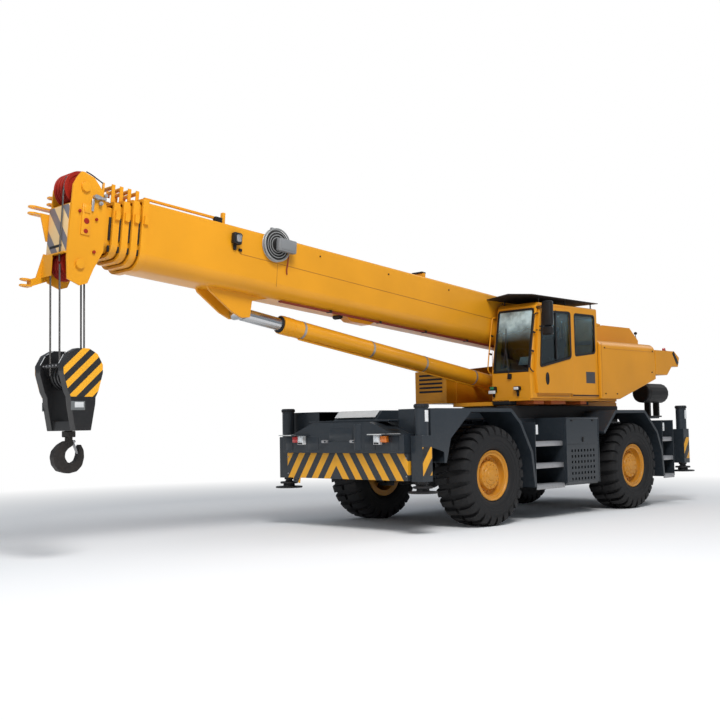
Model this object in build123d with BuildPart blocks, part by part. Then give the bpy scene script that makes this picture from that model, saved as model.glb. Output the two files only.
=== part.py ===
"""Two-axle rough-terrain mobile crane with a five-section telescopic boom, in millimetres.

+X points forward along the boom, +Y to the cab's side and +Z up, with the ground at Z 0.
Heights are above the ground, and lengths along the machine are measured from the slewing axis.
"""

from build123d import *

import os
from math import cos, pi, radians, sin


# ---------------------------------------------------------------- driving dimensions
FRONT_REACH = 9290  # slewing axis to the tip of the lowest jib clevis
REAR_REACH = 4640  # slewing axis to the end of the silencer
SLEW_X = (REAR_REACH - FRONT_REACH) / 2  # the origin is under the middle of the length

RUN = 0.3  # gap between parts that slide or turn on each other
FREE = 8  # gap round a moving part that touches nothing

# wheels and steering
WHEELBASE = 4300
WHEEL_Y = 1200  # middle of the tyre
TYRE_R = 805
TYRE_W = 640
TYRE_WALL = 55
RIM_R = 402
SEAT_R = 325
FLANGE = 22
BEAD = 245  # wheel middle to the inner face of a rim flange
HUB_BACK = -40
FLATS = 24  # round parts of a wheel are made in this many flats, one of them at the bottom
DISC_FLATS = 16  # and other round parts that nothing turns on in this many
HUB_FACE = 225  # wheel middle to the face of the hub
KINGPIN_Y = 960
KINGPIN_R = 45
KNUCKLE_H = 340
YOKE_T = 50
AXLE_TUBE_R = 115
BOWL_R = 240
BOWL_HALF = 130
TIE_ARM = 300  # kingpin to the tie rod's pin
ARM_IN = 150  # and in from the kingpin, towards the middle

# chassis
FRAME_HALF = 470
RAIL_W = 130
RAIL_TOP = 1640
RAIL_BOTTOM = 1080
BELLY_Z = 860
DECK_Z = 1720
DECK_T = 30
PLATE = 12
FENDER_IN = 900
FENDER_OUT = 1550
FENDER_T = 55
PEDESTAL_R = 640
RING_TOP = 1940

# outriggers
BOX_HALF = 1370
BOX_BOTTOM = 800
BOX_TOP = 1210
BOX_LEN = 440
FRONT_BOX_X = 3720
REAR_BOX_X = -4000
BEAM_W = 190
BEAM_H = 330
BEAM_WALL = 14
BEAM_IN = -1250
JACK_Y = 1504
JACK_R = 100
JACK_WALL = 22
JACK_TOP = 1940
JACK_BOTTOM = 790
FLOAT_R = 225
FLOAT_Z = 620
CASE_W = 225  # square case round the foot of a jack
CASE_OUT = 1605
CASE_TOP = 1470

# bodywork of the nose
NOSE_X = 4120
NOSE_HALF = 1360
NOSE_T = 20
SHELF_Z = 1500
BOARD_X = 4040
BOARD_HALF = 1355
PANEL_FRONT = 3730
PANEL_FOOT = 1300

# superstructure
WEIGHT_TOP = 3055
TABLE_EDGE = 20  # of the table outside the side plates
CHEEK_IN = 405  # inner face of the tall side plates
CHEEK_T = 35
TABLE_Z = 1950
TABLE_T = 70
CAB_IN = 452
CAB_OUT = 1300
DOOR_OUT = 1350
WALL = 45
GLASS = 6
SIDE_Y = 1350
PIVOT_X = -2500
PIVOT_Z = 3150
PIVOT_R = 90

# boom
ELEVATION = 5  # degrees above level as it travels
SECTIONS = 5
BOOM_HALF = 380
BOOM_UP = 525
BOOM_DOWN = 355
BOOM_WALL = 10
BELLY = 0.55  # radius of the belly's corners, as a share of the half width
BELLY_FLATS = 5
EDGE_R = 42
EDGE_FLATS = 2
NEST = 36  # each section is this much smaller on every side
BOOM_REAR = -380
BOOM_END = 10540
COLLAR_STEP = 120
COLLAR_T = 28
GUIDE_TOP = 700
GUIDE_HALF = 160
SECTION_REAR = 420
SADDLE_S = 6200
SADDLE_DROP = 420
SADDLE_HALF = 90
POST_S = 4760  # rope-guide post on the boom's back
POST_HALF = 130
BAR_REAR = 9120  # straight bar beside the rope
BAR_FRONT = 10400
BAR_Y = 200
HEAD_T = 24
SHEAVE_R = 190  # to the middle of the rope
SHEAVE_T = 46
SHEAVE_PITCH = 78
TOP_SHEAVE = (11300, 540)  # along the boom and square to it
TOP_SHEAVE_R = 225
LUG_Y = -322  # middle of the jib clevises, on the far side
LUG_HALF = 62
LUG_T = 22
JIB_PIN_R = 30

# lift cylinder
RAM_X = 270
RAM_Z = 2390
RAM_S = 8580  # boom end of the cylinder, along the boom from its pivot
RAM_DROP = 620
RAM_EYE_R = 92
RAM_EYE_HALF = 104
RAM_PIN_R = 60
BARREL_R = 135
BARREL_WALL = 22
ROD_R = 95
GLAND_BACK = 900  # pin to the barrel's end with the boom at rest

# hook block
HOIST_S = 11300
HOIST_DROP = 446
BLOCK_SHEAVE_Z = 2310
BLOCK_HALF = 225
BLOCK_OUT = 360
BLOCK_BOTTOM = 1625
FALL_R = 11
FALL_GAP = 0.9  # the ropes clear the flats of the sheaves
HOOK_SHANK_R = 48

os.makedirs("parts", exist_ok=True)


# ---------------------------------------------------------------- planes and small helpers
def side(y):
    """Upright plane along the machine at Y: local x forward from the slewing axis, local y height."""
    return Plane(origin=(SLEW_X, y, 0), x_dir=(1, 0, 0), z_dir=(0, -1, 0))


def across(x):
    """Upright plane across the machine, x forward of the slewing axis: local x is Y, local y height."""
    return Plane(origin=(SLEW_X + x, 0, 0), x_dir=(0, 1, 0), z_dir=(1, 0, 0))


def level(z):
    """Level plane at height z, centred on the slewing axis."""
    return Plane(origin=(SLEW_X, 0, z))


TILT = radians(ELEVATION)
PIVOT = Vector(SLEW_X + PIVOT_X, 0, PIVOT_Z)
ALONG = Vector(cos(TILT), 0, sin(TILT))
ABOVE = Vector(-sin(TILT), 0, cos(TILT))


def boom_side(y):
    """Plane along the boom at Y: local x from the boom's pivot to its tip, local y square to it."""
    return Plane(origin=PIVOT + Vector(0, y, 0), x_dir=ALONG, z_dir=(0, -1, 0))


def boom_level(up):
    """Plane along the boom and level across it, square distance up: local x from the pivot, local y is Y."""
    return Plane(origin=PIVOT + ABOVE * up, x_dir=ALONG, z_dir=ABOVE)


def boom_across(s):
    """Plane square to the boom, s from its pivot: local x is Y, local y square to the boom."""
    return Plane(origin=PIVOT + ALONG * s, x_dir=(0, 1, 0), z_dir=ALONG)


def outline(points, mode=Mode.ADD):
    """Closed outline through the points, as a face of the sketch in hand."""
    with BuildLine() as loop:
        Polyline(*points, close=True)
    make_face(loop.edges(), mode=mode)


def disc(radius, mode=Mode.ADD):
    """Round outline in flats, one of them at the bottom."""
    RegularPolygon(radius, DISC_FLATS, major_radius=False, rotation=180 / DISC_FLATS, mode=mode)


def turned(plane, section, ring=True, mode=Mode.ADD):
    """Round body in flats about the plane's normal, from its section of (distance out, radius).

    The section of a ring is closed, and that of a solid body runs from its back face to its front.
    """
    turns = [2 * pi * (flat + 0.5) / FLATS for flat in range(FLATS)]
    corner = 1 / cos(pi / FLATS)
    rings = [
        [plane.from_local_coords((r * corner * cos(t), r * corner * sin(t), out)) for t in turns]
        for out, r in section
    ]
    bands = list(zip(rings, rings[1:])) + ([(rings[-1], rings[0])] if ring else [])
    faces = [
        Face(Wire.make_polygon((a[k - 1], a[k], b[k], b[k - 1])))
        for a, b in bands
        for k in range(FLATS)
    ]
    if not ring:
        faces += [Face(Wire.make_polygon(rings[0])), Face(Wire.make_polygon(rings[-1]))]
    add(Solid(Shell(faces)), mode=mode)


# ---------------------------------------------------------------- wheels
WHEELS = (
    # name, ahead of the slewing axis, side
    ("front_left", WHEELBASE / 2, 1),
    ("front_right", WHEELBASE / 2, -1),
    ("rear_left", -WHEELBASE / 2, 1),
    ("rear_right", -WHEELBASE / 2, -1),
)
TREAD_HALF = 0.8 * TYRE_W / 2
SHOULDER_R = 0.85 * TYRE_R
BULGE_R = 0.62 * TYRE_R
INNER_R = TYRE_R - TYRE_WALL
TYRE_SECTION = (
    # out from the tyre's middle, radius to a flat
    (-TREAD_HALF, TYRE_R),
    (TREAD_HALF, TYRE_R),
    (TYRE_W / 2, SHOULDER_R),
    (TYRE_W / 2 - 10, BULGE_R),
    (BEAD - RUN, RIM_R + RUN),
    (BEAD - RUN, SEAT_R + RUN),
    (BEAD - TYRE_WALL, SEAT_R + RUN),
    (TREAD_HALF, INNER_R),
    (-TREAD_HALF, INNER_R),
    (TYRE_WALL - BEAD, SEAT_R + RUN),
    (RUN - BEAD, SEAT_R + RUN),
    (RUN - BEAD, RIM_R + RUN),
    (10 - TYRE_W / 2, BULGE_R),
    (-TYRE_W / 2, SHOULDER_R),
)
LUG_SECTION = (
    # of a shoulder lug, out from the tyre's middle and radius
    (TREAD_HALF - 20, TYRE_R - TYRE_WALL),
    (TREAD_HALF - 20, TYRE_R - 2),
    (TYRE_W / 2 + 5, TYRE_R - TYRE_WALL),
    (TYRE_W / 2 + 5, SHOULDER_R - 40),
    (TREAD_HALF + 10, SHOULDER_R - 40),
)
LUG_WIDTH = 150
RIM_IN = SEAT_R - 18
DISC_BACK = 85
DISC_FRONT = 110
HUB_R = 165
HUB_ROOT_R = 205
RIM_SECTION = (
    # out from the rim's middle, radius to a flat
    (HUB_BACK, HUB_R),
    (DISC_BACK, HUB_ROOT_R),
    (DISC_BACK, RIM_IN),
    (-BEAD - FLANGE, RIM_IN),
    (-BEAD - FLANGE, RIM_R),
    (-BEAD, RIM_R),
    (-BEAD, SEAT_R),
    (BEAD, SEAT_R),
    (BEAD, RIM_R),
    (BEAD + FLANGE, RIM_R),
    (BEAD + FLANGE, RIM_IN),
    (DISC_FRONT, RIM_IN),
    (DISC_FRONT, HUB_ROOT_R),
    (HUB_FACE, HUB_R),
)
STEERING_ARM = (
    # from the kingpin: back to the machine's middle, in towards the other wheel
    (0, -40),
    (0, 40),
    (90, 40),
    (TIE_ARM - 38, ARM_IN + 45),
    (TIE_ARM + 45, ARM_IN + 45),
    (110, -40),
)
for name, x, hand in WHEELS:
    centre = Vector(SLEW_X + x, hand * WHEEL_Y, TYRE_R)
    outward = Plane(origin=centre, x_dir=(1, 0, 0), z_dir=(0, hand, 0))

    with BuildPart() as tyre:
        turned(outward, TYRE_SECTION)
        # the lugs of the two shoulders are staggered
        for first, hand_out in ((0, 1), (1, -1)):
            turns = [2 * pi * flat / FLATS for flat in range(first, FLATS, 2)]
            lug_planes = [
                Plane(origin=centre, x_dir=(0, hand_out, 0), z_dir=(-hand_out * sin(t), 0, hand_out * cos(t)))
                for t in turns
            ]
            with BuildSketch(*lug_planes):
                outline(LUG_SECTION)
            extrude(amount=LUG_WIDTH / 2, both=True)
    tyre.part.label = name + "_tyre"
    export_step(tyre.part, "parts/" + name + "_tyre.step")

    with BuildPart() as rim:
        turned(outward, RIM_SECTION, ring=False)
    rim.part.label = name + "_rim"
    export_step(rim.part, "parts/" + name + "_rim.step")

    # the knuckle turns on its kingpin between the yokes of the axle housing
    toward_middle = -1 if x > 0 else 1
    with BuildPart() as knuckle:
        with BuildSketch(level(TYRE_R - KNUCKLE_H / 2)):
            with Locations((x, hand * KINGPIN_Y)):
                Rectangle(180, 150)
        extrude(amount=KNUCKLE_H)
        with BuildSketch(level(TYRE_R - KNUCKLE_H / 2 - YOKE_T)):
            with Locations((x, hand * KINGPIN_Y)):
                Circle(KINGPIN_R)
        extrude(amount=KNUCKLE_H + 2 * YOKE_T)
        with BuildSketch(Plane(origin=(SLEW_X + x, hand * KINGPIN_Y, TYRE_R), z_dir=(0, hand, 0))):
            Circle(95)
        extrude(amount=WHEEL_Y + HUB_BACK - KINGPIN_Y - RUN)
        with BuildSketch(level(TYRE_R - 150)):
            outline([(x + toward_middle * back, hand * (KINGPIN_Y - inward)) for back, inward in STEERING_ARM])
        extrude(amount=40)
    knuckle.part.label = name + "_knuckle"
    export_step(knuckle.part, "parts/" + name + "_knuckle.step")

# the tie rods join the steering arms under their pins
for name, x in (("front", WHEELBASE / 2), ("rear", -WHEELBASE / 2)):
    pin_x = x - TIE_ARM if x > 0 else x + TIE_ARM
    half = KINGPIN_Y - ARM_IN
    with BuildPart() as tie_rod:
        with BuildSketch(Plane(origin=(SLEW_X + pin_x, -half, TYRE_R - 185), z_dir=(0, 1, 0))):
            disc(26)
        extrude(amount=2 * half)
        with BuildSketch(level(TYRE_R - 220)):
            with Locations((pin_x, half), (pin_x, -half)):
                disc(40)
        extrude(amount=70 - RUN)
    tie_rod.part.label = name + "_tie_rod"
    export_step(tie_rod.part, "parts/" + name + "_tie_rod.step")

# ---------------------------------------------------------------- axle housings
with BuildPart() as axle_housings:
    for x in (WHEELBASE / 2, -WHEELBASE / 2):
        reach = KINGPIN_Y - 100 - FREE - 20
        with BuildSketch(Plane(origin=(SLEW_X + x, -reach, TYRE_R), z_dir=(0, 1, 0))):
            disc(AXLE_TUBE_R)
        extrude(amount=2 * reach)
        with BuildSketch(across(x - BOWL_HALF)):
            with Locations((60, TYRE_R)):
                disc(BOWL_R)
        extrude(amount=2 * BOWL_HALF)
        # seats under the frame rails
        for y in (FRAME_HALF, -FRAME_HALF + RAIL_W):
            with BuildSketch(side(y)):
                with Locations((x, (TYRE_R + RAIL_BOTTOM) / 2)):
                    Rectangle(220, RAIL_BOTTOM - TYRE_R)
            extrude(amount=RAIL_W)
        for hand in (1, -1):
            # a C-shaped yoke reaches over and under the knuckle
            with BuildSketch(side(hand * (reach - 40)).offset(-20)):
                with Locations((x, TYRE_R)):
                    Rectangle(150, KNUCKLE_H + 2 * YOKE_T + 2)
            extrude(amount=40)
            for z in (TYRE_R + KNUCKLE_H / 2 + RUN, TYRE_R - KNUCKLE_H / 2 - RUN - YOKE_T):
                with BuildSketch(level(z)):
                    with Locations((x, hand * (KINGPIN_Y + reach) / 2)):
                        Rectangle(150, KINGPIN_Y - reach + 120)
                    with Locations((x, hand * KINGPIN_Y)):
                        Circle(KINGPIN_R + RUN, mode=Mode.SUBTRACT)
                extrude(amount=YOKE_T)
axle_housings.part.label = "axle_housings"
export_step(axle_housings.part, "parts/axle_housings.step")

# ---------------------------------------------------------------- chassis frame
FRAME_FRONT = FRONT_BOX_X - BOX_LEN / 2
FRAME_REAR = REAR_BOX_X + BOX_LEN / 2
with BuildPart() as chassis_frame:
    for y in (FRAME_HALF, -FRAME_HALF + RAIL_W):
        with BuildSketch(side(y)):
            outline(
                (
                    (FRAME_REAR, RAIL_BOTTOM),
                    (FRAME_REAR, RAIL_TOP),
                    (FRAME_FRONT, RAIL_TOP),
                    (FRAME_FRONT, RAIL_BOTTOM),
                    (1350, RAIL_BOTTOM),
                    (1050, BELLY_Z),
                    (-1050, BELLY_Z),
                    (-1350, RAIL_BOTTOM),
                )
            )
        extrude(amount=RAIL_W)
    # cross members: centre, length along the machine, bottom, top
    for x, length, bottom, top in (
        (3100, 120, 1150, RAIL_TOP),
        (1500, 140, RAIL_BOTTOM, RAIL_TOP),
        (0, 1500, BELLY_Z + 80, RAIL_TOP),
        (-1500, 140, RAIL_BOTTOM, RAIL_TOP),
        (-3600, 120, 1150, 1400),
    ):
        with BuildSketch(side(FRAME_HALF - RAIL_W)):
            with Locations((x, (bottom + top) / 2)):
                Rectangle(length, top - bottom)
        extrude(amount=2 * (FRAME_HALF - RAIL_W))
    # outrigger boxes, each with two open bays side by side
    for x in (FRONT_BOX_X, REAR_BOX_X):
        with BuildSketch(side(BOX_HALF)):
            with Locations((x, (BOX_BOTTOM + BOX_TOP) / 2)):
                Rectangle(BOX_LEN, BOX_TOP - BOX_BOTTOM)
            for bay in (1, -1):
                with Locations((x + bay * BOX_LEN / 4, (BOX_BOTTOM + BOX_TOP) / 2)):
                    Rectangle(BEAM_W + 2 * RUN, BEAM_H + 2 * RUN, mode=Mode.SUBTRACT)
        extrude(amount=2 * BOX_HALF)
        with BuildSketch(side(FRAME_HALF)):
            with Locations((x, (BOX_TOP + RAIL_TOP) / 2)):
                Rectangle(BOX_LEN, RAIL_TOP - BOX_TOP)
        extrude(amount=2 * FRAME_HALF)
    # pedestal under the slewing ring
    with BuildSketch(level(RAIL_TOP)):
        Circle(PEDESTAL_R)
    extrude(amount=RING_TOP - 90 - RAIL_TOP)
chassis_frame.part.label = "chassis_frame"
export_step(chassis_frame.part, "parts/chassis_frame.step")

with BuildPart() as slewing_ring:
    with BuildSketch(level(RING_TOP - 90)):
        RegularPolygon(PEDESTAL_R + 60, 2 * DISC_FLATS, major_radius=False)
        RegularPolygon(PEDESTAL_R - 160, 2 * DISC_FLATS, major_radius=False, mode=Mode.SUBTRACT)
    extrude(amount=90)
slewing_ring.part.label = "slewing_ring"
export_step(slewing_ring.part, "parts/slewing_ring.step")

# ---------------------------------------------------------------- decks and bodywork of the carrier
DECK_FRONT = 3950
DECK_REAR = -4230
HUMP_TOP = 1870
HUMPS = (
    # rear edge, front edge, half width, run of the sloping front
    (900, 3800, 480, HUMP_TOP - DECK_Z),
    (-4200, -1100, 600, 0),
)
with BuildPart() as deck:
    with BuildSketch(level(DECK_Z - DECK_T)):
        with Locations(((DECK_FRONT + DECK_REAR) / 2, 0)):
            Rectangle(DECK_FRONT - DECK_REAR, 2 * FENDER_IN)
        disc(PEDESTAL_R + 30, mode=Mode.SUBTRACT)
    extrude(amount=DECK_T)
    # raised deck ahead of the ring and hump over the engine
    for x0, x1, half, slope in HUMPS:
        with BuildSketch(side(half)):
            outline(((x0, DECK_Z), (x1, DECK_Z), (x1 - slope, HUMP_TOP), (x0, HUMP_TOP)))
        extrude(amount=2 * half)
    # stiffeners stand on the rails
    for y in (FRAME_HALF - RAIL_W / 2, -FRAME_HALF + RAIL_W / 2):
        for x in (2900, 1250, -1250, -2900):
            with BuildSketch(level(RAIL_TOP)):
                with Locations((x, y)):
                    Rectangle(300, RAIL_W)
            extrude(amount=DECK_Z - DECK_T - RAIL_TOP)
deck.part.label = "deck"
export_step(deck.part, "parts/deck.step")

NOSE_TOP = DECK_Z - DECK_T - RUN
NOSE_BACK = PANEL_FRONT + RUN
NOSE_SHOULDER = 1155
NOSE_TOP_HALF = 640
NOSE_OUTLINE = (
    # left or right, height
    (-NOSE_HALF, BOX_TOP + RUN),
    (-NOSE_HALF, SHELF_Z),
    (-NOSE_SHOULDER, SHELF_Z),
    (-NOSE_TOP_HALF, NOSE_TOP),
    (NOSE_TOP_HALF, NOSE_TOP),
    (NOSE_SHOULDER, SHELF_Z),
    (NOSE_HALF, SHELF_Z),
    (NOSE_HALF, BOX_TOP + RUN),
)
NOSE_SHELVES = (
    # left or right, length ahead of the nose, width, bottom, top
    (1015, 100, 630, SHELF_Z - PLATE, SHELF_Z),
    (320, 80, 90, 1380, 1405),
)
with BuildPart() as nose:
    with BuildSketch(across(NOSE_BACK)):
        outline(NOSE_OUTLINE)
    extrude(amount=NOSE_X - NOSE_BACK)
    with BuildSketch(across(NOSE_BACK)):
        outline(NOSE_OUTLINE)
        offset(amount=-NOSE_T, kind=Kind.INTERSECTION, mode=Mode.REPLACE)
    extrude(amount=NOSE_X - NOSE_BACK - NOSE_T, mode=Mode.SUBTRACT)
    with BuildSketch(level(BOX_TOP + RUN)):
        with Locations(((FRAME_FRONT + FRONT_BOX_X + BOX_LEN / 2 + 60) / 2, 0)):
            Rectangle(BOX_LEN + 60, 2 * FRAME_HALF + 2 * RUN)
    extrude(amount=NOSE_T, mode=Mode.SUBTRACT)
    # visors over the lamps, lugs for the hook's rope, rounded pillar beside the lamp
    for hand in (1, -1):
        for y, reach, width, bottom, top in NOSE_SHELVES:
            with BuildSketch(level(bottom)):
                with Locations((NOSE_X + reach / 2, hand * y)):
                    Rectangle(reach, width)
            extrude(amount=top - bottom)
    with BuildSketch(level(1260)):
        with Locations((NOSE_X - 30, 395)):
            disc(80)
    extrude(amount=400)
nose.part.label = "nose_panel"
export_step(nose.part, "parts/nose_panel.step")

# tray-shaped stripe boards on the faces of the outrigger boxes
BOARDS = (
    # face of the box, face of the board
    (FRONT_BOX_X + BOX_LEN / 2, BOARD_X),
    (REAR_BOX_X - BOX_LEN / 2, REAR_BOX_X - BOX_LEN / 2 - 60),
)
with BuildPart() as stripe_plate:
    for back, face in BOARDS:
        near, far = min(back, face), max(back, face)
        with BuildSketch(across(near)):
            with Locations((0, (BOX_BOTTOM + BOX_TOP) / 2)):
                Rectangle(2 * BOARD_HALF, BOX_TOP - BOX_BOTTOM - 2)
        extrude(amount=far - near)
        with BuildSketch(across(near if face > back else near + PLATE)):
            with Locations((0, (BOX_BOTTOM + BOX_TOP) / 2)):
                Rectangle(2 * BOARD_HALF - 2 * PLATE, BOX_TOP - BOX_BOTTOM - 2 - 2 * PLATE)
        extrude(amount=far - near - PLATE, mode=Mode.SUBTRACT)
stripe_plate.part.label = "stripe_plate"
export_step(stripe_plate.part, "parts/stripe_plate.step")

ARCH_R = TYRE_R + 185  # the arches leave the tyres room to steer
FRONT_ARCH = (
    # from the front axle: ahead and up, as shares of the arch's radius
    (1.24, 0.25),
    (1.13, 0.62),
    (0.63, 1.025),
    (-0.41, 1.025),
    (-0.65, 0.82),
    (-0.94, 0.34),
    (-1.03, -0.24),
)
REAR_ARCH = (
    # from the rear axle, in the same way
    (1.10, 0.62),
    (0.69, 1.0),
    (-0.34, 1.0),
    (-0.78, 0.61),
    (-0.94, 0.26),
    (-1.0, -0.24),
)
with BuildPart() as fenders:
    for axle_x, arch in ((WHEELBASE / 2, FRONT_ARCH), (-WHEELBASE / 2, REAR_ARCH)):
        inner = [(axle_x + ARCH_R * u, TYRE_R + ARCH_R * w) for u, w in arch]
        for y in (FENDER_OUT, -FENDER_IN):
            with BuildSketch(side(y)):
                with BuildLine() as edge:
                    Polyline(*inner)
                    offset(amount=FENDER_T, side=Side.RIGHT)
                make_face()
            extrude(amount=FENDER_OUT - FENDER_IN)
    # panels from the front arches to the jacks: side, top and front
    x_in, z_in = (WHEELBASE / 2 + ARCH_R * FRONT_ARCH[0][0], TYRE_R + ARCH_R * FRONT_ARCH[0][1])
    x_mid, z_mid = (WHEELBASE / 2 + ARCH_R * FRONT_ARCH[1][0], TYRE_R + ARCH_R * FRONT_ARCH[1][1])
    x_up, z_up = (WHEELBASE / 2 + ARCH_R * FRONT_ARCH[2][0], TYRE_R + ARCH_R * FRONT_ARCH[2][1])
    z_top = z_up + FENDER_T
    for hand in (1, -1):
        with BuildSketch(side(FENDER_OUT if hand > 0 else -FENDER_OUT + PLATE)):
            outline(
                (
                    (x_in, z_in),
                    (x_in + FENDER_T, z_in),
                    (x_in + FENDER_T, BOX_TOP + FREE),
                    (PANEL_FRONT, PANEL_FOOT),
                    (PANEL_FRONT, z_top),
                    (x_up, z_top),
                    (x_up, z_up),
                    (x_mid, z_mid),
                )
            )
        extrude(amount=PLATE)
        with BuildSketch(side(FENDER_OUT if hand > 0 else -FENDER_IN)):
            outline(
                (
                    (x_up, z_top),
                    (x_up, z_top - PLATE),
                    (PANEL_FRONT - PLATE, z_top - PLATE),
                    (PANEL_FRONT - PLATE, PANEL_FOOT),
                    (PANEL_FRONT, PANEL_FOOT),
                    (PANEL_FRONT, z_top),
                )
            )
        extrude(amount=FENDER_OUT - FENDER_IN)
fenders.part.label = "fenders"
export_step(fenders.part, "parts/fenders.step")

# steps: each is a recessed box with treads between two side plates
STEPS = (
    # rear edge, front edge, top, bottom, side
    (190, 1040, 1650, 550, 1),
    (190, 1040, 1650, 550, -1),
    (-3650, -3210, 1650, 550, 1),
    (-3650, -3210, 1650, 550, -1),
)
TREADS = (550, 900, 1270)
with BuildPart() as steps:
    for x0, x1, top, bottom, hand in STEPS:
        y = FENDER_OUT - 40 if hand > 0 else -FENDER_IN
        depth = FENDER_OUT - 40 - FENDER_IN
        for x in (x0, x1 - PLATE):
            with BuildSketch(side(y)):
                with Locations((x + PLATE / 2, (top + bottom) / 2)):
                    Rectangle(PLATE, top - bottom)
            extrude(amount=depth)
        for tread, z in enumerate(TREADS):
            inset = 110 * tread
            start = y - inset if hand > 0 else y
            with BuildSketch(side(start)):
                with Locations(((x0 + x1) / 2, z + 20)):
                    Rectangle(x1 - x0, 40)
            extrude(amount=depth - inset)
        inner = FENDER_IN + PLATE if hand > 0 else -FENDER_IN
        with BuildSketch(side(inner)):
            with Locations(((x0 + x1) / 2, (top + bottom) / 2)):
                Rectangle(x1 - x0, top - bottom)
        extrude(amount=PLATE)
        with BuildSketch(side(inner)):
            with Locations(((x0 + x1) / 2, (DECK_Z + top) / 2 - 20)):
                Rectangle(x1 - x0, DECK_Z - top)
        extrude(amount=PLATE)
        with BuildSketch(side(FENDER_IN if hand > 0 else -FRAME_HALF)):
            with Locations(((x0 + x1) / 2, 1400)):
                Rectangle(160, 120)
        extrude(amount=FENDER_IN - FRAME_HALF)
steps.part.label = "steps"
export_step(steps.part, "parts/steps.step")

SIDE_BOX_REAR = -850
SIDE_BOX_FRONT = 188
SIDE_BOX_BOTTOM = 540
BOX_SKIN = 10
HOLE = 44
HOLE_PITCH = 98
with BuildPart() as side_boxes:
    # tool box on the left and fuel tank on the right, each on a shelf from the frame
    for outer, shelf in ((FENDER_OUT, FENDER_IN), (-FENDER_IN, -FRAME_HALF)):
        for y, depth, bottom, top in (
            (outer, FENDER_OUT - FENDER_IN, SIDE_BOX_BOTTOM, DECK_Z),
            (shelf, FENDER_IN - FRAME_HALF, 900, 1400),
        ):
            with BuildSketch(side(y)):
                with Locations(((SIDE_BOX_REAR + SIDE_BOX_FRONT) / 2, (bottom + top) / 2)):
                    Rectangle(SIDE_BOX_FRONT - SIDE_BOX_REAR, top - bottom)
            extrude(amount=depth)
    chamfer(side_boxes.edges().filter_by(Axis.X).group_by(Axis.Z)[0], 60)
    # the tool box is hollow, with rows of square holes low on its outer side
    with BuildSketch(side(FENDER_OUT - BOX_SKIN)):
        with Locations(((SIDE_BOX_REAR + SIDE_BOX_FRONT) / 2, (SIDE_BOX_BOTTOM + DECK_Z) / 2 + 25)):
            Rectangle(
                SIDE_BOX_FRONT - SIDE_BOX_REAR - 2 * BOX_SKIN,
                DECK_Z - SIDE_BOX_BOTTOM - 50 - 2 * BOX_SKIN,
            )
    extrude(amount=FENDER_OUT - FENDER_IN - 2 * BOX_SKIN, mode=Mode.SUBTRACT)
    with BuildSketch(side(FENDER_OUT)):
        with Locations(((SIDE_BOX_REAR + SIDE_BOX_FRONT) / 2, SIDE_BOX_BOTTOM + 3.6 * HOLE_PITCH)):
            with GridLocations(HOLE_PITCH, HOLE_PITCH, 8, 6):
                Rectangle(HOLE, HOLE)
    extrude(amount=BOX_SKIN, mode=Mode.SUBTRACT)
side_boxes.part.label = "side_boxes"
export_step(side_boxes.part, "parts/side_boxes.step")

with BuildPart() as engine:
    with BuildSketch(level(RAIL_BOTTOM - 60)):
        with Locations((-2980, 0)):
            Rectangle(1100, 2 * (FRAME_HALF - RAIL_W) - 2 * RUN)
    extrude(amount=DECK_Z - DECK_T - RAIL_BOTTOM + 60 - RUN)
engine.part.label = "engine_block"
export_step(engine.part, "parts/engine_block.step")

SILENCER_Z = 2220
SILENCER_Y = 700
SILENCER_LEN = 670
with BuildPart() as silencer:
    with BuildSketch(across(-REAR_REACH)):
        with Locations((SILENCER_Y, SILENCER_Z)):
            disc(200)
    extrude(amount=SILENCER_LEN)
    for x in (140, 490):
        with BuildSketch(across(x - REAR_REACH)):
            with Locations((SILENCER_Y, (DECK_Z + SILENCER_Z) / 2)):
                Rectangle(120, SILENCER_Z - DECK_Z)
        extrude(amount=60)
    with BuildSketch(level(DECK_Z)):
        with Locations((440 - REAR_REACH, SILENCER_Y)):
            Rectangle(700, 160)
    extrude(amount=30)
silencer.part.label = "silencer"
export_step(silencer.part, "parts/silencer.step")

LAMPS = (
    # face that carries it, left or right, height, length, width, height of the lamp
    (NOSE_X, 860, 1415, 70, 120, 140),
    (NOSE_X, -860, 1415, 70, 120, 140),
    (NOSE_X, 1000, 1425, 55, 120, 90),
    (NOSE_X, -1000, 1425, 55, 120, 90),
    (BOARDS[1][1] - 60, 900, 1110, 60, 300, 120),
    (BOARDS[1][1] - 60, -900, 1110, 60, 300, 120),
)
with BuildPart() as lamps:
    for x, y, z, length, width, height in LAMPS:
        with BuildSketch(across(x)):
            with Locations((y, z)):
                Rectangle(width, height)
        extrude(amount=length)
lamps.part.label = "carrier_lamps"
export_step(lamps.part, "parts/carrier_lamps.step")

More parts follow.
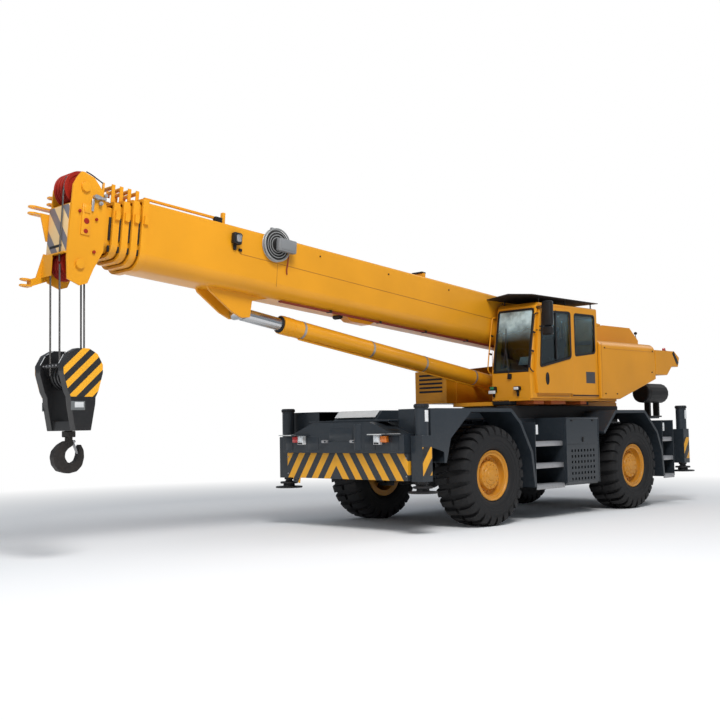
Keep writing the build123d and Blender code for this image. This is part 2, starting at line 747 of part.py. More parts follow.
# ---------------------------------------------------------------- outrigger beams and jacks
OUTRIGGERS = (
    # name, box, bay ahead or behind, side, jack ahead of the slewing axis
    ("front_left", FRONT_BOX_X, 1, 1, 3880),
    ("front_right", FRONT_BOX_X, -1, -1, 3880),
    ("rear_left", REAR_BOX_X, 1, 1, REAR_BOX_X),
    ("rear_right", REAR_BOX_X, -1, -1, REAR_BOX_X),
)
BEAM_END = JACK_Y - JACK_R - 8
for name, box, bay, hand, jack_x in OUTRIGGERS:
    beam_x = box + bay * BOX_LEN / 4
    beam_z = (BOX_BOTTOM + BOX_TOP) / 2
    with BuildPart() as beam:
        with BuildSketch(side(BEAM_END if hand > 0 else -BEAM_IN)):
            with Locations((beam_x, beam_z)):
                Rectangle(BEAM_W, BEAM_H)
                Rectangle(BEAM_W - 2 * BEAM_WALL, BEAM_H - 2 * BEAM_WALL, mode=Mode.SUBTRACT)
        extrude(amount=BEAM_END - BEAM_IN)
        # end plate that carries the jack's tube in its square case
        x0 = min(beam_x - BEAM_W / 2, jack_x - CASE_W / 2)
        x1 = max(beam_x + BEAM_W / 2, jack_x + CASE_W / 2)
        with BuildSketch(side(BEAM_END + 14 if hand > 0 else -BEAM_END)):
            with Locations(((x0 + x1) / 2, beam_z)):
                Rectangle(x1 - x0, BEAM_H)
        extrude(amount=14)
        with BuildSketch(level(JACK_BOTTOM)):
            with Locations((jack_x, hand * (CASE_OUT - CASE_W / 2))):
                Rectangle(CASE_W, CASE_W)
        extrude(amount=CASE_TOP - JACK_BOTTOM)
        with BuildSketch(level(JACK_BOTTOM)):
            with Locations((jack_x, hand * JACK_Y)):
                disc(JACK_R)
        extrude(amount=JACK_TOP - JACK_BOTTOM)
        with BuildSketch(level(JACK_TOP - 45)):
            with Locations((jack_x, hand * JACK_Y)):
                disc(JACK_R + 14)
        extrude(amount=30)
        with BuildSketch(level(JACK_BOTTOM)):
            with Locations((jack_x, hand * JACK_Y)):
                disc(JACK_R - JACK_WALL)
        extrude(amount=JACK_TOP - JACK_BOTTOM - 50, mode=Mode.SUBTRACT)
    beam.part.label = name + "_outrigger_beam"
    export_step(beam.part, "parts/" + name + "_outrigger_beam.step")

    # round float under a smaller plate and the neck of the rod
    with BuildPart() as jack:
        for radius, bottom, top in (
            (FLOAT_R, FLOAT_Z, FLOAT_Z + 22),
            (0.42 * FLOAT_R, FLOAT_Z + 22, FLOAT_Z + 70),
            (0.66 * FLOAT_R, FLOAT_Z + 70, FLOAT_Z + 105),
            (0.26 * FLOAT_R, FLOAT_Z + 105, JACK_BOTTOM - 30),
            (JACK_R - JACK_WALL - RUN, JACK_BOTTOM - 30, JACK_TOP - 120),
        ):
            with BuildSketch(level(bottom)):
                with Locations((jack_x, hand * JACK_Y)):
                    disc(radius)
            extrude(amount=top - bottom)
    jack.part.label = name + "_jack"
    export_step(jack.part, "parts/" + name + "_jack.step")

# ---------------------------------------------------------------- turntable
CHEEK = (
    (-4280, WEIGHT_TOP),
    (-4280, 3350),
    (-3950, 3600),
    (-2900, 3600),
    (-2200, 3400),
    (-1500, 2850),
    (550, 2640),
    (750, 2450),
    (750, TABLE_Z + TABLE_T),
    (-3300, TABLE_Z + TABLE_T),
    (-3300, WEIGHT_TOP),
)
with BuildPart() as turntable:
    with BuildSketch(level(TABLE_Z)):
        with Locations((-1250, 0)):
            Rectangle(4100, 2 * (CHEEK_IN + CHEEK_T + TABLE_EDGE))
        RegularPolygon(PEDESTAL_R + 60, 2 * DISC_FLATS, major_radius=False)
    extrude(amount=TABLE_T)
    with BuildSketch(level(RING_TOP + RUN)):
        RegularPolygon(PEDESTAL_R + 20, 2 * DISC_FLATS, major_radius=False)
    extrude(amount=TABLE_Z - RING_TOP - RUN)
    for y in (CHEEK_IN + CHEEK_T, -CHEEK_IN):
        with BuildSketch(side(y)):
            outline(CHEEK)
        extrude(amount=CHEEK_T)
    # pins of the boom's foot and of the lift cylinder
    for x, z, r in ((PIVOT_X, PIVOT_Z, PIVOT_R), (RAM_X, RAM_Z, RAM_PIN_R)):
        with BuildSketch(side(CHEEK_IN + CHEEK_T)):
            with Locations((x, z)):
                Circle(r)
        extrude(amount=2 * (CHEEK_IN + CHEEK_T))
    # floors that carry the cab and the housings
    for y0, y1, x0, x1 in (
        (CHEEK_IN + CHEEK_T, 1250, -1300, 800),
        (-1200, -CHEEK_IN - CHEEK_T, -3300, 1000),
        (CHEEK_IN + CHEEK_T, 1250, -2000, -1300),
    ):
        with BuildSketch(level(TABLE_Z + TABLE_T)):
            with Locations(((x0 + x1) / 2, (y0 + y1) / 2)):
                Rectangle(x1 - x0, y1 - y0)
        extrude(amount=40)
turntable.part.label = "turntable_frame"
export_step(turntable.part, "parts/turntable_frame.step")

HOUSE_Z = TABLE_Z + TABLE_T + 40
with BuildPart() as left_housing:
    with BuildSketch(side(SIDE_Y)):
        outline(
            (
                (-1310, HOUSE_Z),
                (-1310, 3160),
                (-3310, 3160),
                (-3340, 2470),
                (-1970, HOUSE_Z),
            )
        )
    extrude(amount=SIDE_Y - CHEEK_IN - CHEEK_T)
    fillet(left_housing.edges().filter_by(Axis.X).sort_by(Axis.Z)[-2:].sort_by(Axis.Y)[-1], 140)
left_housing.part.label = "left_housing"
export_step(left_housing.part, "parts/left_housing.step")

RIGHT_OUT = 1200
RIGHT_FRONT = 1000
LOUVRES = 5
LOUVRE_H = 34
LOUVRE_PITCH = 75
LOUVRE_DEEP = 15
with BuildPart() as right_housing:
    with BuildSketch(side(-CHEEK_IN - CHEEK_T)):
        outline(
            (
                (RIGHT_FRONT, HOUSE_Z),
                (RIGHT_FRONT, 2620),
                (-1300, 2620),
                (-1450, 3160),
                (-3310, 3160),
                (-3340, 2470),
                (-3000, HOUSE_Z),
            )
        )
    extrude(amount=RIGHT_OUT - CHEEK_IN - CHEEK_T)
    for slot in range(LOUVRES):
        with BuildSketch(across(RIGHT_FRONT - LOUVRE_DEEP)):
            with Locations((-(RIGHT_OUT + CHEEK_IN + CHEEK_T) / 2, 2240 + LOUVRE_PITCH * slot)):
                Rectangle(560, LOUVRE_H)
        extrude(amount=LOUVRE_DEEP, mode=Mode.SUBTRACT)
right_housing.part.label = "right_housing"
export_step(right_housing.part, "parts/right_housing.step")

with BuildPart() as counterweight:
    with BuildSketch(side(SIDE_Y)):
        outline(
            (
                (-3345, 2560),
                (-3345, WEIGHT_TOP),
                (-4120, WEIGHT_TOP),
                (-4320, 2930),
                (-4260, 2740),
                (-4000, 2740),
                (-3800, 2560),
            )
        )
    extrude(amount=2 * SIDE_Y)
counterweight.part.label = "counterweight"
export_step(counterweight.part, "parts/counterweight.step")

WINCHES = (
    # behind the slewing axis, height, drum radius
    (-3560, 3300, 170),
    (-4010, 3300, 150),
)
with BuildPart() as winches:
    for x, z, r in WINCHES:
        for radius, half in ((r, CHEEK_IN - RUN), (r + 70, 330)):
            with BuildSketch(side(half)):
                with Locations((x, z)):
                    disc(radius)
            extrude(amount=2 * half)
        with BuildSketch(side(300)):
            with Locations((x, z)):
                disc(r + 71)
                disc(r + 20, mode=Mode.SUBTRACT)
        extrude(amount=600, mode=Mode.SUBTRACT)
winches.part.label = "winches"
export_step(winches.part, "parts/winches.step")

# ---------------------------------------------------------------- cab
CAB_FLOOR = HOUSE_Z
CAB_ROOF = 3735
CAB_REAR = -1300
CAB_PROFILE = (
    (CAB_REAR, CAB_FLOOR),
    (800, CAB_FLOOR),
    (820, 2530),
    (600, CAB_ROOF - 60),
    (520, CAB_ROOF),
    (CAB_REAR, CAB_ROOF),
)
DOOR_REAR = -400
DOOR_FRONT = 680
with BuildPart() as cab:
    with BuildSketch(side(CAB_OUT)):
        outline(CAB_PROFILE)
    extrude(amount=CAB_OUT - CAB_IN)
    with BuildSketch(side(CAB_OUT - WALL)):
        outline(CAB_PROFILE)
        offset(amount=-WALL, kind=Kind.INTERSECTION, mode=Mode.REPLACE)
    extrude(amount=CAB_OUT - CAB_IN - 2 * WALL, mode=Mode.SUBTRACT)
    # doorway and side windows
    with BuildSketch(side(CAB_OUT)):
        outline(
            (
                (DOOR_REAR + 60, 2200),
                (DOOR_FRONT - 60, 2200),
                (DOOR_FRONT - 60, 2560),
                (530, 3600),
                (DOOR_REAR + 60, 3600),
            )
        )
        outline(((-1220, 2910), (-560, 2830), (-560, 3600), (-1220, 3600)))
    extrude(amount=WALL, mode=Mode.SUBTRACT)
    with BuildSketch(side(CAB_IN + WALL)):
        outline(((-1100, 2900), (600, 2600), (480, 3600), (-1100, 3600)))
    extrude(amount=WALL, mode=Mode.SUBTRACT)
    # windscreen and rear window
    with BuildSketch(across(400)):
        with Locations(((CAB_IN + CAB_OUT) / 2, 3070)):
            Rectangle(CAB_OUT - CAB_IN - 2 * WALL, 1120)
    extrude(amount=500, mode=Mode.SUBTRACT)
    with BuildSketch(across(CAB_REAR)):
        with Locations(((CAB_IN + CAB_OUT) / 2, 3330)):
            Rectangle(CAB_OUT - CAB_IN - 2 * WALL - 60, 500)
    extrude(amount=WALL, mode=Mode.SUBTRACT)
cab.part.label = "cab_shell"
export_step(cab.part, "parts/cab_shell.step")

PANE = 18  # depth of a pane's outer face in its frame
with BuildPart() as cab_glass:
    with BuildSketch(side(CAB_OUT - PANE)):
        outline(((-1220, 2910), (-560, 2830), (-560, 3600), (-1220, 3600)))
        offset(amount=-RUN, kind=Kind.INTERSECTION, mode=Mode.REPLACE)
    extrude(amount=GLASS)
    with BuildSketch(side(CAB_IN + PANE + GLASS)):
        outline(((-1100, 2900), (600, 2600), (480, 3600), (-1100, 3600)))
        offset(amount=-RUN, kind=Kind.INTERSECTION, mode=Mode.REPLACE)
    extrude(amount=GLASS)
    rake = Plane(origin=(SLEW_X + 820 - PANE, 0, 2530), x_dir=(0, 1, 0), z_dir=(1205, 0, 220))
    with BuildSketch(rake):
        with Locations(((CAB_IN + CAB_OUT) / 2, 548)):
            Rectangle(CAB_OUT - CAB_IN - 2 * WALL - 2 * RUN, 1110)
    extrude(amount=-GLASS)
    with BuildSketch(across(CAB_REAR + PANE)):
        with Locations(((CAB_IN + CAB_OUT) / 2, 3330)):
            Rectangle(CAB_OUT - CAB_IN - 2 * WALL - 60 - 2 * RUN, 500 - 2 * RUN)
    extrude(amount=GLASS)
cab_glass.part.label = "cab_glass"
export_step(cab_glass.part, "parts/cab_glass.step")

DOOR_WINDOW = ((-340, 2790), (600, 2600), (510, 3570), (-340, 3600))
with BuildPart() as door:
    with BuildSketch(side(DOOR_OUT)):
        outline(
            (
                (DOOR_REAR, 2145),
                (DOOR_FRONT, 2145),
                (DOOR_FRONT + 40, 2540),
                (560, 3660),
                (DOOR_REAR, 3660),
            )
        )
        outline(DOOR_WINDOW)
    extrude(amount=DOOR_OUT - CAB_OUT - 0.5)
    with BuildSketch(side(DOOR_OUT)):
        outline(DOOR_WINDOW)
    extrude(amount=DOOR_OUT - CAB_OUT, mode=Mode.SUBTRACT)
door.part.label = "cab_door"
export_step(door.part, "parts/cab_door.step")

with BuildPart() as door_glass:
    with BuildSketch(side(DOOR_OUT - PANE)):
        outline(DOOR_WINDOW)
        offset(amount=-RUN, kind=Kind.INTERSECTION, mode=Mode.REPLACE)
    extrude(amount=GLASS)
door_glass.part.label = "door_glass"
export_step(door_glass.part, "parts/door_glass.step")

with BuildPart() as station:
    # seat with its back, console and steering column
    with BuildSketch(side(1130)):
        outline(
            (
                (-200, 2105),
                (150, 2105),
                (150, 2400),
                (250, 2400),
                (250, 2520),
                (-260, 2520),
                (-420, 3180),
                (-540, 3150),
                (-380, 2400),
                (-200, 2400),
            )
        )
    extrude(amount=480)
    with BuildSketch(side(1100)):
        outline(((480, 2105), (700, 2105), (700, 2560), (560, 2700), (480, 2680)))
    extrude(amount=420)
    for y in (1235, 560):
        with BuildSketch(side(y)):
            outline(((-250, 2105), (200, 2105), (260, 2600), (-250, 2560)))
        extrude(amount=60)
station.part.label = "operator_station"
export_step(station.part, "parts/operator_station.step")

with BuildPart() as sunshade:
    with BuildSketch(side(CAB_OUT)):
        with Locations((-200, 3830)):
            Rectangle(2100, 18)
    extrude(amount=CAB_OUT - CAB_IN)
    with BuildSketch(level(CAB_ROOF)):
        with Locations(*[(x, y) for x in (-1200, -350, 450) for y in (CAB_IN + 60, CAB_OUT - 60)]):
            Rectangle(40, 40)
    extrude(amount=90)
sunshade.part.label = "sunshade"
export_step(sunshade.part, "parts/sunshade.step")

with BuildPart() as mirrors:
    with BuildSketch(across(980)):
        with Locations((1480, 3350)):
            Rectangle(200, 420)
    extrude(amount=70)
    # arm from the cab's corner post
    with BuildSketch(across(600)):
        with Locations(((CAB_OUT + 1492) / 2, 3450)):
            Rectangle(1492 - CAB_OUT, 24)
    extrude(amount=30)
    with BuildSketch(across(600)):
        with Locations((1480, 3450)):
            Rectangle(24, 24)
    extrude(amount=380)
mirrors.part.label = "mirrors"
export_step(mirrors.part, "parts/mirrors.step")


# ---------------------------------------------------------------- boom
def section_face(inset, shrink=0, mode=Mode.ADD):
    """Filled section of the boom: flat top and sides over a rounded belly, inset from the base's."""
    half = BOOM_HALF - inset - shrink
    up = BOOM_UP - inset - shrink
    down = BOOM_DOWN - inset - shrink
    belly = BELLY * (half + shrink) - shrink
    edge = EDGE_R - shrink
    corners = (
        # middle of the corner, radius, turn at its start, flats
        (half - belly, belly - down, belly, -90, BELLY_FLATS),
        (half - edge, up - edge, edge, 0, EDGE_FLATS),
        (edge - half, up - edge, edge, 90, EDGE_FLATS),
        (belly - half, belly - down, belly, 180, BELLY_FLATS),
    )
    points = [
        (x + r * cos(radians(start + 90 * flat / flats)), y + r * sin(radians(start + 90 * flat / flats)))
        for x, y, r, start, flats in corners
        for flat in range(flats + 1)
    ]
    outline(points, mode)


for number in range(1, SECTIONS + 1):
    inset = NEST * (number - 1)
    rear = BOOM_REAR if number == 1 else SECTION_REAR + 40 * number
    front = BOOM_END + COLLAR_STEP * (number - 1)
    node = "boom_base" if number == 1 else f"boom_section_{number}"
    with BuildPart() as section:
        with BuildSketch(boom_across(rear)):
            section_face(inset)
            section_face(inset, BOOM_WALL, Mode.SUBTRACT)
        extrude(amount=front - rear)
        if number < SECTIONS:
            # collar round the mouth, with slide pads inside it
            with BuildSketch(boom_across(front - 90)):
                section_face(inset - COLLAR_T)
                section_face(inset, 1, Mode.SUBTRACT)
            extrude(amount=90)
            # rope guide on the collar: a roller between two ears, and a lug on each side
            collar_top = BOOM_UP - inset + COLLAR_T
            for y in (GUIDE_HALF + PLATE, -GUIDE_HALF):
                with BuildSketch(boom_side(y)):
                    with Locations((front - 45, (collar_top + GUIDE_TOP) / 2 - 2)):
                        Rectangle(50, GUIDE_TOP - collar_top + 4)
                extrude(amount=PLATE)
            with BuildSketch(boom_side(GUIDE_HALF)):
                with Locations((front - 45, GUIDE_TOP - 35)):
                    disc(26)
            extrude(amount=2 * GUIDE_HALF)
            for y in (BOOM_HALF - inset + COLLAR_T + 40, -BOOM_HALF + inset - COLLAR_T + 5):
                with BuildSketch(boom_side(y)):
                    with Locations((front - 45, 260)):
                        Rectangle(60, 110)
                extrude(amount=45)
            gap = NEST - BOOM_WALL - RUN
            half = BOOM_HALF - inset - BOOM_WALL
            up = BOOM_UP - inset - BOOM_WALL
            down = BOOM_DOWN - inset - BOOM_WALL
            with BuildSketch(boom_across(front - 400)):
                with Locations((0.55 * half, up - gap / 2), (-0.55 * half, up - gap / 2)):
                    Rectangle(0.4 * half, gap)
                with Locations((0, -down + gap / 2)):
                    Rectangle(0.5 * half, gap)
                with Locations((half - gap / 2, 0.3 * up), (-half + gap / 2, 0.3 * up)):
                    Rectangle(gap, 0.3 * up)
            extrude(amount=300)
        if number > 1:
            # slide pads on the tail of this section
            gap = NEST - BOOM_WALL - RUN
            half = BOOM_HALF - inset
            up = BOOM_UP - inset
            down = BOOM_DOWN - inset
            with BuildSketch(boom_across(rear)):
                with Locations((0.55 * half, up + gap / 2), (-0.55 * half, up + gap / 2)):
                    Rectangle(0.4 * half, gap)
                with Locations((0, -down - gap / 2)):
                    Rectangle(0.4 * half, gap)
            extrude(amount=300)
        if number == 1:
            # closed tail, pivot bosses and the cheeks that take the lift cylinder
            with BuildSketch(boom_across(rear)):
                section_face(0, BOOM_WALL - 1)
            extrude(amount=PLATE)
            for y in (CHEEK_IN - FREE, -BOOM_HALF + BOOM_WALL):
                with BuildSketch(boom_side(y)):
                    disc(210)
                extrude(amount=CHEEK_IN - FREE - BOOM_HALF + BOOM_WALL)
            with BuildSketch(boom_side(CHEEK_IN)):
                Circle(PIVOT_R + RUN)
            extrude(amount=2 * CHEEK_IN, mode=Mode.SUBTRACT)
            for y in (RAM_EYE_HALF + 10 + 40, -RAM_EYE_HALF - 10):
                with BuildSketch(boom_side(y)):
                    outline(
                        (
                            (RAM_S - 400, -BOOM_DOWN),
                            (RAM_S + 680, -BOOM_DOWN),
                            (RAM_S + 650, -BOOM_DOWN - 50),
                            (RAM_S + 250, -RAM_DROP - 20),
                            (RAM_S + 60, -RAM_DROP - 85),
                            (RAM_S - 90, -RAM_DROP - 60),
                            (RAM_S - 110, -BOOM_DOWN - 80),
                        )
                    )
                extrude(amount=40)
            # rest under the belly and post behind the last rope guide
            with BuildSketch(boom_side(SADDLE_HALF)):
                outline(
                    (
                        (SADDLE_S - 330, -BOOM_DOWN + 5),
                        (SADDLE_S + 330, -BOOM_DOWN + 5),
                        (SADDLE_S + 200, -SADDLE_DROP),
                        (SADDLE_S - 200, -SADDLE_DROP),
                    )
                )
            extrude(amount=2 * SADDLE_HALF)
            with BuildSketch(boom_side(POST_HALF)):
                with Locations((POST_S, BOOM_UP + 65)):
                    Rectangle(60, 134)
            extrude(amount=2 * POST_HALF)
            # fixed bar over the front of the top plate
            for s in (BAR_REAR, BAR_FRONT - 60):
                with BuildSketch(boom_side(BAR_Y)):
                    with Locations((s + 30, BOOM_UP + 40)):
                        Rectangle(60, 84)
                extrude(amount=40)
            with BuildSketch(boom_side(BAR_Y)):
                with Locations(((BAR_REAR + BAR_FRONT) / 2, BOOM_UP + 92)):
                    Rectangle(BAR_FRONT - BAR_REAR, 30)
            extrude(amount=40)
    section.part.label = node
    export_step(section.part, "parts/" + node + ".step")

HEAD_REAR = BOOM_END + COLLAR_STEP * (SECTIONS - 1)
HEAD_HALF = BOOM_HALF - NEST * (SECTIONS - 1) + RUN  # the plates lap onto the last section's sides
HEAD_PLATE = (
    # along the boom, square to it
    (HEAD_REAR - 35, 367),
    (HEAD_REAR + 40, 554),
    (HEAD_REAR + 162, 687),
    (HEAD_REAR + 308, 731),
    (HEAD_REAR + 348, 729),
    (HEAD_REAR + 401, 651),
    (HEAD_REAR + 451, 540),
    (HEAD_REAR + 461, -375),
    (HEAD_REAR + 429, -657),
    (HEAD_REAR + 254, -711),
    (HEAD_REAR + 151, -668),
    (HEAD_REAR + 81, -472),
    (HEAD_REAR - 35, -227),
)
FRONT_EDGE = HEAD_REAR + 461
CLEVISES = (
    # root, tip, middle of the upper prong, middle of the lower prong
    (HEAD_REAR + 350, HEAD_REAR + 475, 460, 374),
    (HEAD_REAR + 363, HEAD_REAR + 722, 291, 207),
    (HEAD_REAR + 620, HEAD_REAR + 750, -649, -726),
)
GUSSETS = (
    # thickness of a plate that carries clevises, then its corners along the boom and square to it
    (LUG_T, (HEAD_REAR + 593, 222), (HEAD_REAR + 368, 223), (HEAD_REAR + 351, -113), (HEAD_REAR + 483, -128)),
    (LUG_T, (HEAD_REAR + 500, -294), (HEAD_REAR + 401, -299), (HEAD_REAR + 374, -532), (HEAD_REAR + 581, -630)),
    (110, (HEAD_REAR + 374, -519), (HEAD_REAR + 640, -638), (HEAD_REAR + 640, -737), (HEAD_REAR + 374, -612)),
)
HEAD_PIN_R = 45
BOSS_R = 62
BOSS_T = 22
with BuildPart() as head:
    for y in (HEAD_HALF + HEAD_T, -HEAD_HALF):
        with BuildSketch(boom_side(y)):
            outline(HEAD_PLATE)
        extrude(amount=HEAD_T)
    # cross plates behind and in front, and a guard below the front one on the far side
    for s, low, high, length, y, width in (
        (HEAD_REAR + RUN, -190, 360, 50, HEAD_HALF, 2 * HEAD_HALF),
        (FRONT_EDGE, -330, 300, 8, HEAD_HALF + HEAD_T, 2 * (HEAD_HALF + HEAD_T)),
        (FRONT_EDGE + 38, -600, -322, 10, -20, HEAD_HALF + HEAD_T - 20),
        (FRONT_EDGE, -338, -322, 48, HEAD_HALF + HEAD_T, 2 * (HEAD_HALF + HEAD_T)),
    ):
        with BuildSketch(boom_side(y)):
            with Locations((s + length / 2, (low + high) / 2)):
                Rectangle(length, high - low)
        extrude(amount=width)
    # sheave pins with their bosses
    for s, up in ((HOIST_S, -HOIST_DROP), TOP_SHEAVE):
        for y, radius, length in (
            (HEAD_HALF, HEAD_PIN_R, 2 * HEAD_HALF),
            (HEAD_HALF + HEAD_T + BOSS_T, BOSS_R, BOSS_T),
            (-HEAD_HALF - HEAD_T, BOSS_R, BOSS_T),
        ):
            with BuildSketch(boom_side(y)):
                with Locations((s, up)):
                    disc(radius)
            extrude(amount=length)
    # clevises with upright pin holes, and their gussets
    for root, tip, upper, lower in CLEVISES:
        for up in (upper, lower):
            with BuildSketch(boom_level(up - LUG_T / 2)):
                outline(
                    (
                        (root, -HEAD_HALF - HEAD_T),
                        (root, LUG_Y - LUG_HALF),
                        (tip - 45, LUG_Y - LUG_HALF),
                        (tip, LUG_Y - 30),
                        (tip, LUG_Y + 30),
                        (tip - 45, -HEAD_HALF - HEAD_T),
                    )
                )
                with Locations((tip - 55, LUG_Y)):
                    Circle(JIB_PIN_R, mode=Mode.SUBTRACT)
            extrude(amount=LUG_T)
    for thickness, *corners in GUSSETS:
        with BuildSketch(boom_side(-HEAD_HALF - HEAD_T)):
            outline(corners)
        extrude(amount=thickness)
head.part.label = "boom_head"
export_step(head.part, "parts/boom_head.step")

SHEAVE_SETS = (
    # place along the boom, square to it, radius
    (HOIST_S, -HOIST_DROP, SHEAVE_R - FALL_R),
    (*TOP_SHEAVE, TOP_SHEAVE_R),
)
SHEAVE_YS = [SHEAVE_PITCH * k for k in (-1.5, -0.5, 0.5, 1.5)]
with BuildPart() as sheaves:
    for s, up, radius in SHEAVE_SETS:
        for y in SHEAVE_YS:
            with BuildSketch(boom_side(y + SHEAVE_T / 2)):
                with Locations((s, up)):
                    RegularPolygon(radius, 2 * DISC_FLATS, major_radius=False, rotation=90 / DISC_FLATS)
                    disc(HEAD_PIN_R + RUN, mode=Mode.SUBTRACT)
            extrude(amount=SHEAVE_T)
sheaves.part.label = "head_sheaves"
export_step(sheaves.part, "parts/head_sheaves.step")

# ---------------------------------------------------------------- lift cylinder
RAM_FOOT = Vector(SLEW_X + RAM_X, 0, RAM_Z)
RAM_TIP = PIVOT + ALONG * RAM_S - ABOVE * RAM_DROP
RAM_RUN = RAM_TIP - RAM_FOOT
RAM_LENGTH = RAM_RUN.length
RAM_DIR = RAM_RUN.normalized()
ram_side = Plane(origin=RAM_FOOT, x_dir=RAM_DIR, z_dir=(0, -1, 0))
with BuildPart() as barrel:
    with BuildSketch(Plane(origin=RAM_FOOT + RAM_DIR * 130, x_dir=(0, 1, 0), z_dir=RAM_DIR)):
        disc(BARREL_R)
    extrude(amount=RAM_LENGTH - GLAND_BACK - 130)
    with BuildSketch(Plane(origin=RAM_FOOT + RAM_DIR * 400, x_dir=(0, 1, 0), z_dir=RAM_DIR)):
        disc(ROD_R + RUN)
    extrude(amount=RAM_LENGTH, mode=Mode.SUBTRACT)
    with BuildSketch(ram_side.offset(-110)):
        disc(150)
    extrude(amount=220)
    with BuildSketch(ram_side.offset(-110)):
        Circle(RAM_PIN_R + RUN)
    extrude(amount=220, mode=Mode.SUBTRACT)
barrel.part.label = "lift_barrel"
export_step(barrel.part, "parts/lift_barrel.step")

with BuildPart() as rod:
    with BuildSketch(Plane(origin=RAM_TIP - RAM_DIR * 60, x_dir=(0, 1, 0), z_dir=-RAM_DIR)):
        disc(ROD_R)
    extrude(amount=4400)
    with BuildSketch(ram_side.offset(-RAM_EYE_HALF)):
        with Locations((RAM_LENGTH, 0)):
            Circle(RAM_EYE_R)
    extrude(amount=2 * RAM_EYE_HALF)
    with BuildSketch(ram_side.offset(-RAM_EYE_HALF - 10 + RUN)):
        with Locations((RAM_LENGTH, 0)):
            Circle(50)
    extrude(amount=2 * (RAM_EYE_HALF + 10 - RUN))
rod.part.label = "lift_rod"
export_step(rod.part, "parts/lift_rod.step")

# ---------------------------------------------------------------- hook block
HOIST = PIVOT + ALONG * HOIST_S - ABOVE * HOIST_DROP
hook_side = Plane(origin=(HOIST.X, 0, 0), x_dir=(1, 0, 0), z_dir=(0, -1, 0))
with BuildPart() as falls:
    with BuildSketch(Plane(origin=(HOIST.X, 0, BLOCK_SHEAVE_Z))):
        with Locations(
            *[(SHEAVE_R + FALL_GAP, y) for y in (SHEAVE_YS[0], SHEAVE_YS[3])],
            *[(-SHEAVE_R - FALL_GAP, y) for y in (SHEAVE_YS[1], SHEAVE_YS[2])],
        ):
            RegularPolygon(FALL_R, 8, major_radius=False, rotation=22.5)
    extrude(amount=HOIST.Z - BLOCK_SHEAVE_Z)
falls.part.label = "rope_falls"
export_step(falls.part, "parts/rope_falls.step")

BLOCK_CHEEK = (
    # ahead of the middle, height
    (80, 2635),
    (195, 2570),
    (268, 2440),
    (268, 2335),
    (205, 2110),
    (170, 2040),
    (165, 1950),
    (105, BLOCK_BOTTOM),
)
with BuildPart() as block:
    cheek = [*BLOCK_CHEEK, *[(-x, z) for x, z in reversed(BLOCK_CHEEK)]]
    for y in (BLOCK_OUT, -BLOCK_HALF):
        with BuildSketch(hook_side.offset(-y)):
            outline(cheek)
        extrude(amount=BLOCK_OUT - BLOCK_HALF)
    for y in SHEAVE_YS:
        with BuildSketch(hook_side.offset(-y - SHEAVE_T / 2)):
            with Locations((0, BLOCK_SHEAVE_Z)):
                RegularPolygon(SHEAVE_R - FALL_R, 2 * DISC_FLATS, major_radius=False, rotation=90 / DISC_FLATS)
        extrude(amount=SHEAVE_T)
    with BuildSketch(hook_side.offset(-BLOCK_HALF)):
        with Locations((0, BLOCK_SHEAVE_Z)):
            disc(50)
        with Locations((0, BLOCK_BOTTOM + 60)):
            Rectangle(180, 120)
    extrude(amount=2 * BLOCK_HALF)
block.part.label = "hook_block"
export_step(block.part, "parts/hook_block.step")

HOOK = (
    # ahead of the shank, height: round the outside and back inside the bowl, open towards the rear
    (62, 1500),
    (150, 1450),
    (215, 1380),
    (234, 1305),
    (215, 1210),
    (150, 1130),
    (25, 1096),
    (-90, 1120),
    (-160, 1190),
    (-188, 1290),
    (-182, 1380),
    (-140, 1459),
    (-118, 1400),
    (-112, 1320),
    (-85, 1252),
    (-20, 1218),
    (42, 1236),
    (76, 1295),
    (70, 1360),
    (25, 1410),
    (-30, 1440),
    (-62, 1500),
)
HOOK_HALF = 48
with BuildPart() as hook:
    with BuildSketch(hook_side.offset(-HOOK_HALF)):
        outline(HOOK)
    extrude(amount=2 * HOOK_HALF)
    with BuildSketch(Plane(origin=(HOIST.X, 0, 1499))):
        Circle(HOOK_SHANK_R)
    extrude(amount=BLOCK_BOTTOM - 1499 - RUN)
hook.part.label = "hook"
export_step(hook.part, "parts/hook.step")
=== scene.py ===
"""Dresses a two-axle rough-terrain crane: paint, rubber, glass, stripes and the small fittings."""

from math import cos, pi, radians, sin

import bmesh
import bpy
from mathutils import Matrix, Vector


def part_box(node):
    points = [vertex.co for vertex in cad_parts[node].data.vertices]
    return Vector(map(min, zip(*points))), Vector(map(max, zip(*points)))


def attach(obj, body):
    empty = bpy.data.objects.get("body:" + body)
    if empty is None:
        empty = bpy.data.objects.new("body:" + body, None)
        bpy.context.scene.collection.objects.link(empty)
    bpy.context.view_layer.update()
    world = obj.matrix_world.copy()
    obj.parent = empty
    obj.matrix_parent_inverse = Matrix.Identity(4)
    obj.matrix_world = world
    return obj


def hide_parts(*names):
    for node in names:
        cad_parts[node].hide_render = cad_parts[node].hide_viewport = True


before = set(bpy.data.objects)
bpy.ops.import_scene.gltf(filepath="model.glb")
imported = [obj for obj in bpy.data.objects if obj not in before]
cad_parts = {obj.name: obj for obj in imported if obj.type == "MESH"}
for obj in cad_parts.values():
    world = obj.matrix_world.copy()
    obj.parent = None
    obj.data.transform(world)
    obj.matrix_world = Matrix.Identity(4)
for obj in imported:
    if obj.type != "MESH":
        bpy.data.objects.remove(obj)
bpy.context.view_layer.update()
scene = bpy.context.scene
AHEAD, LEFT, UP = (1, 0, 0), (0, 1, 0), (0, 0, 1)


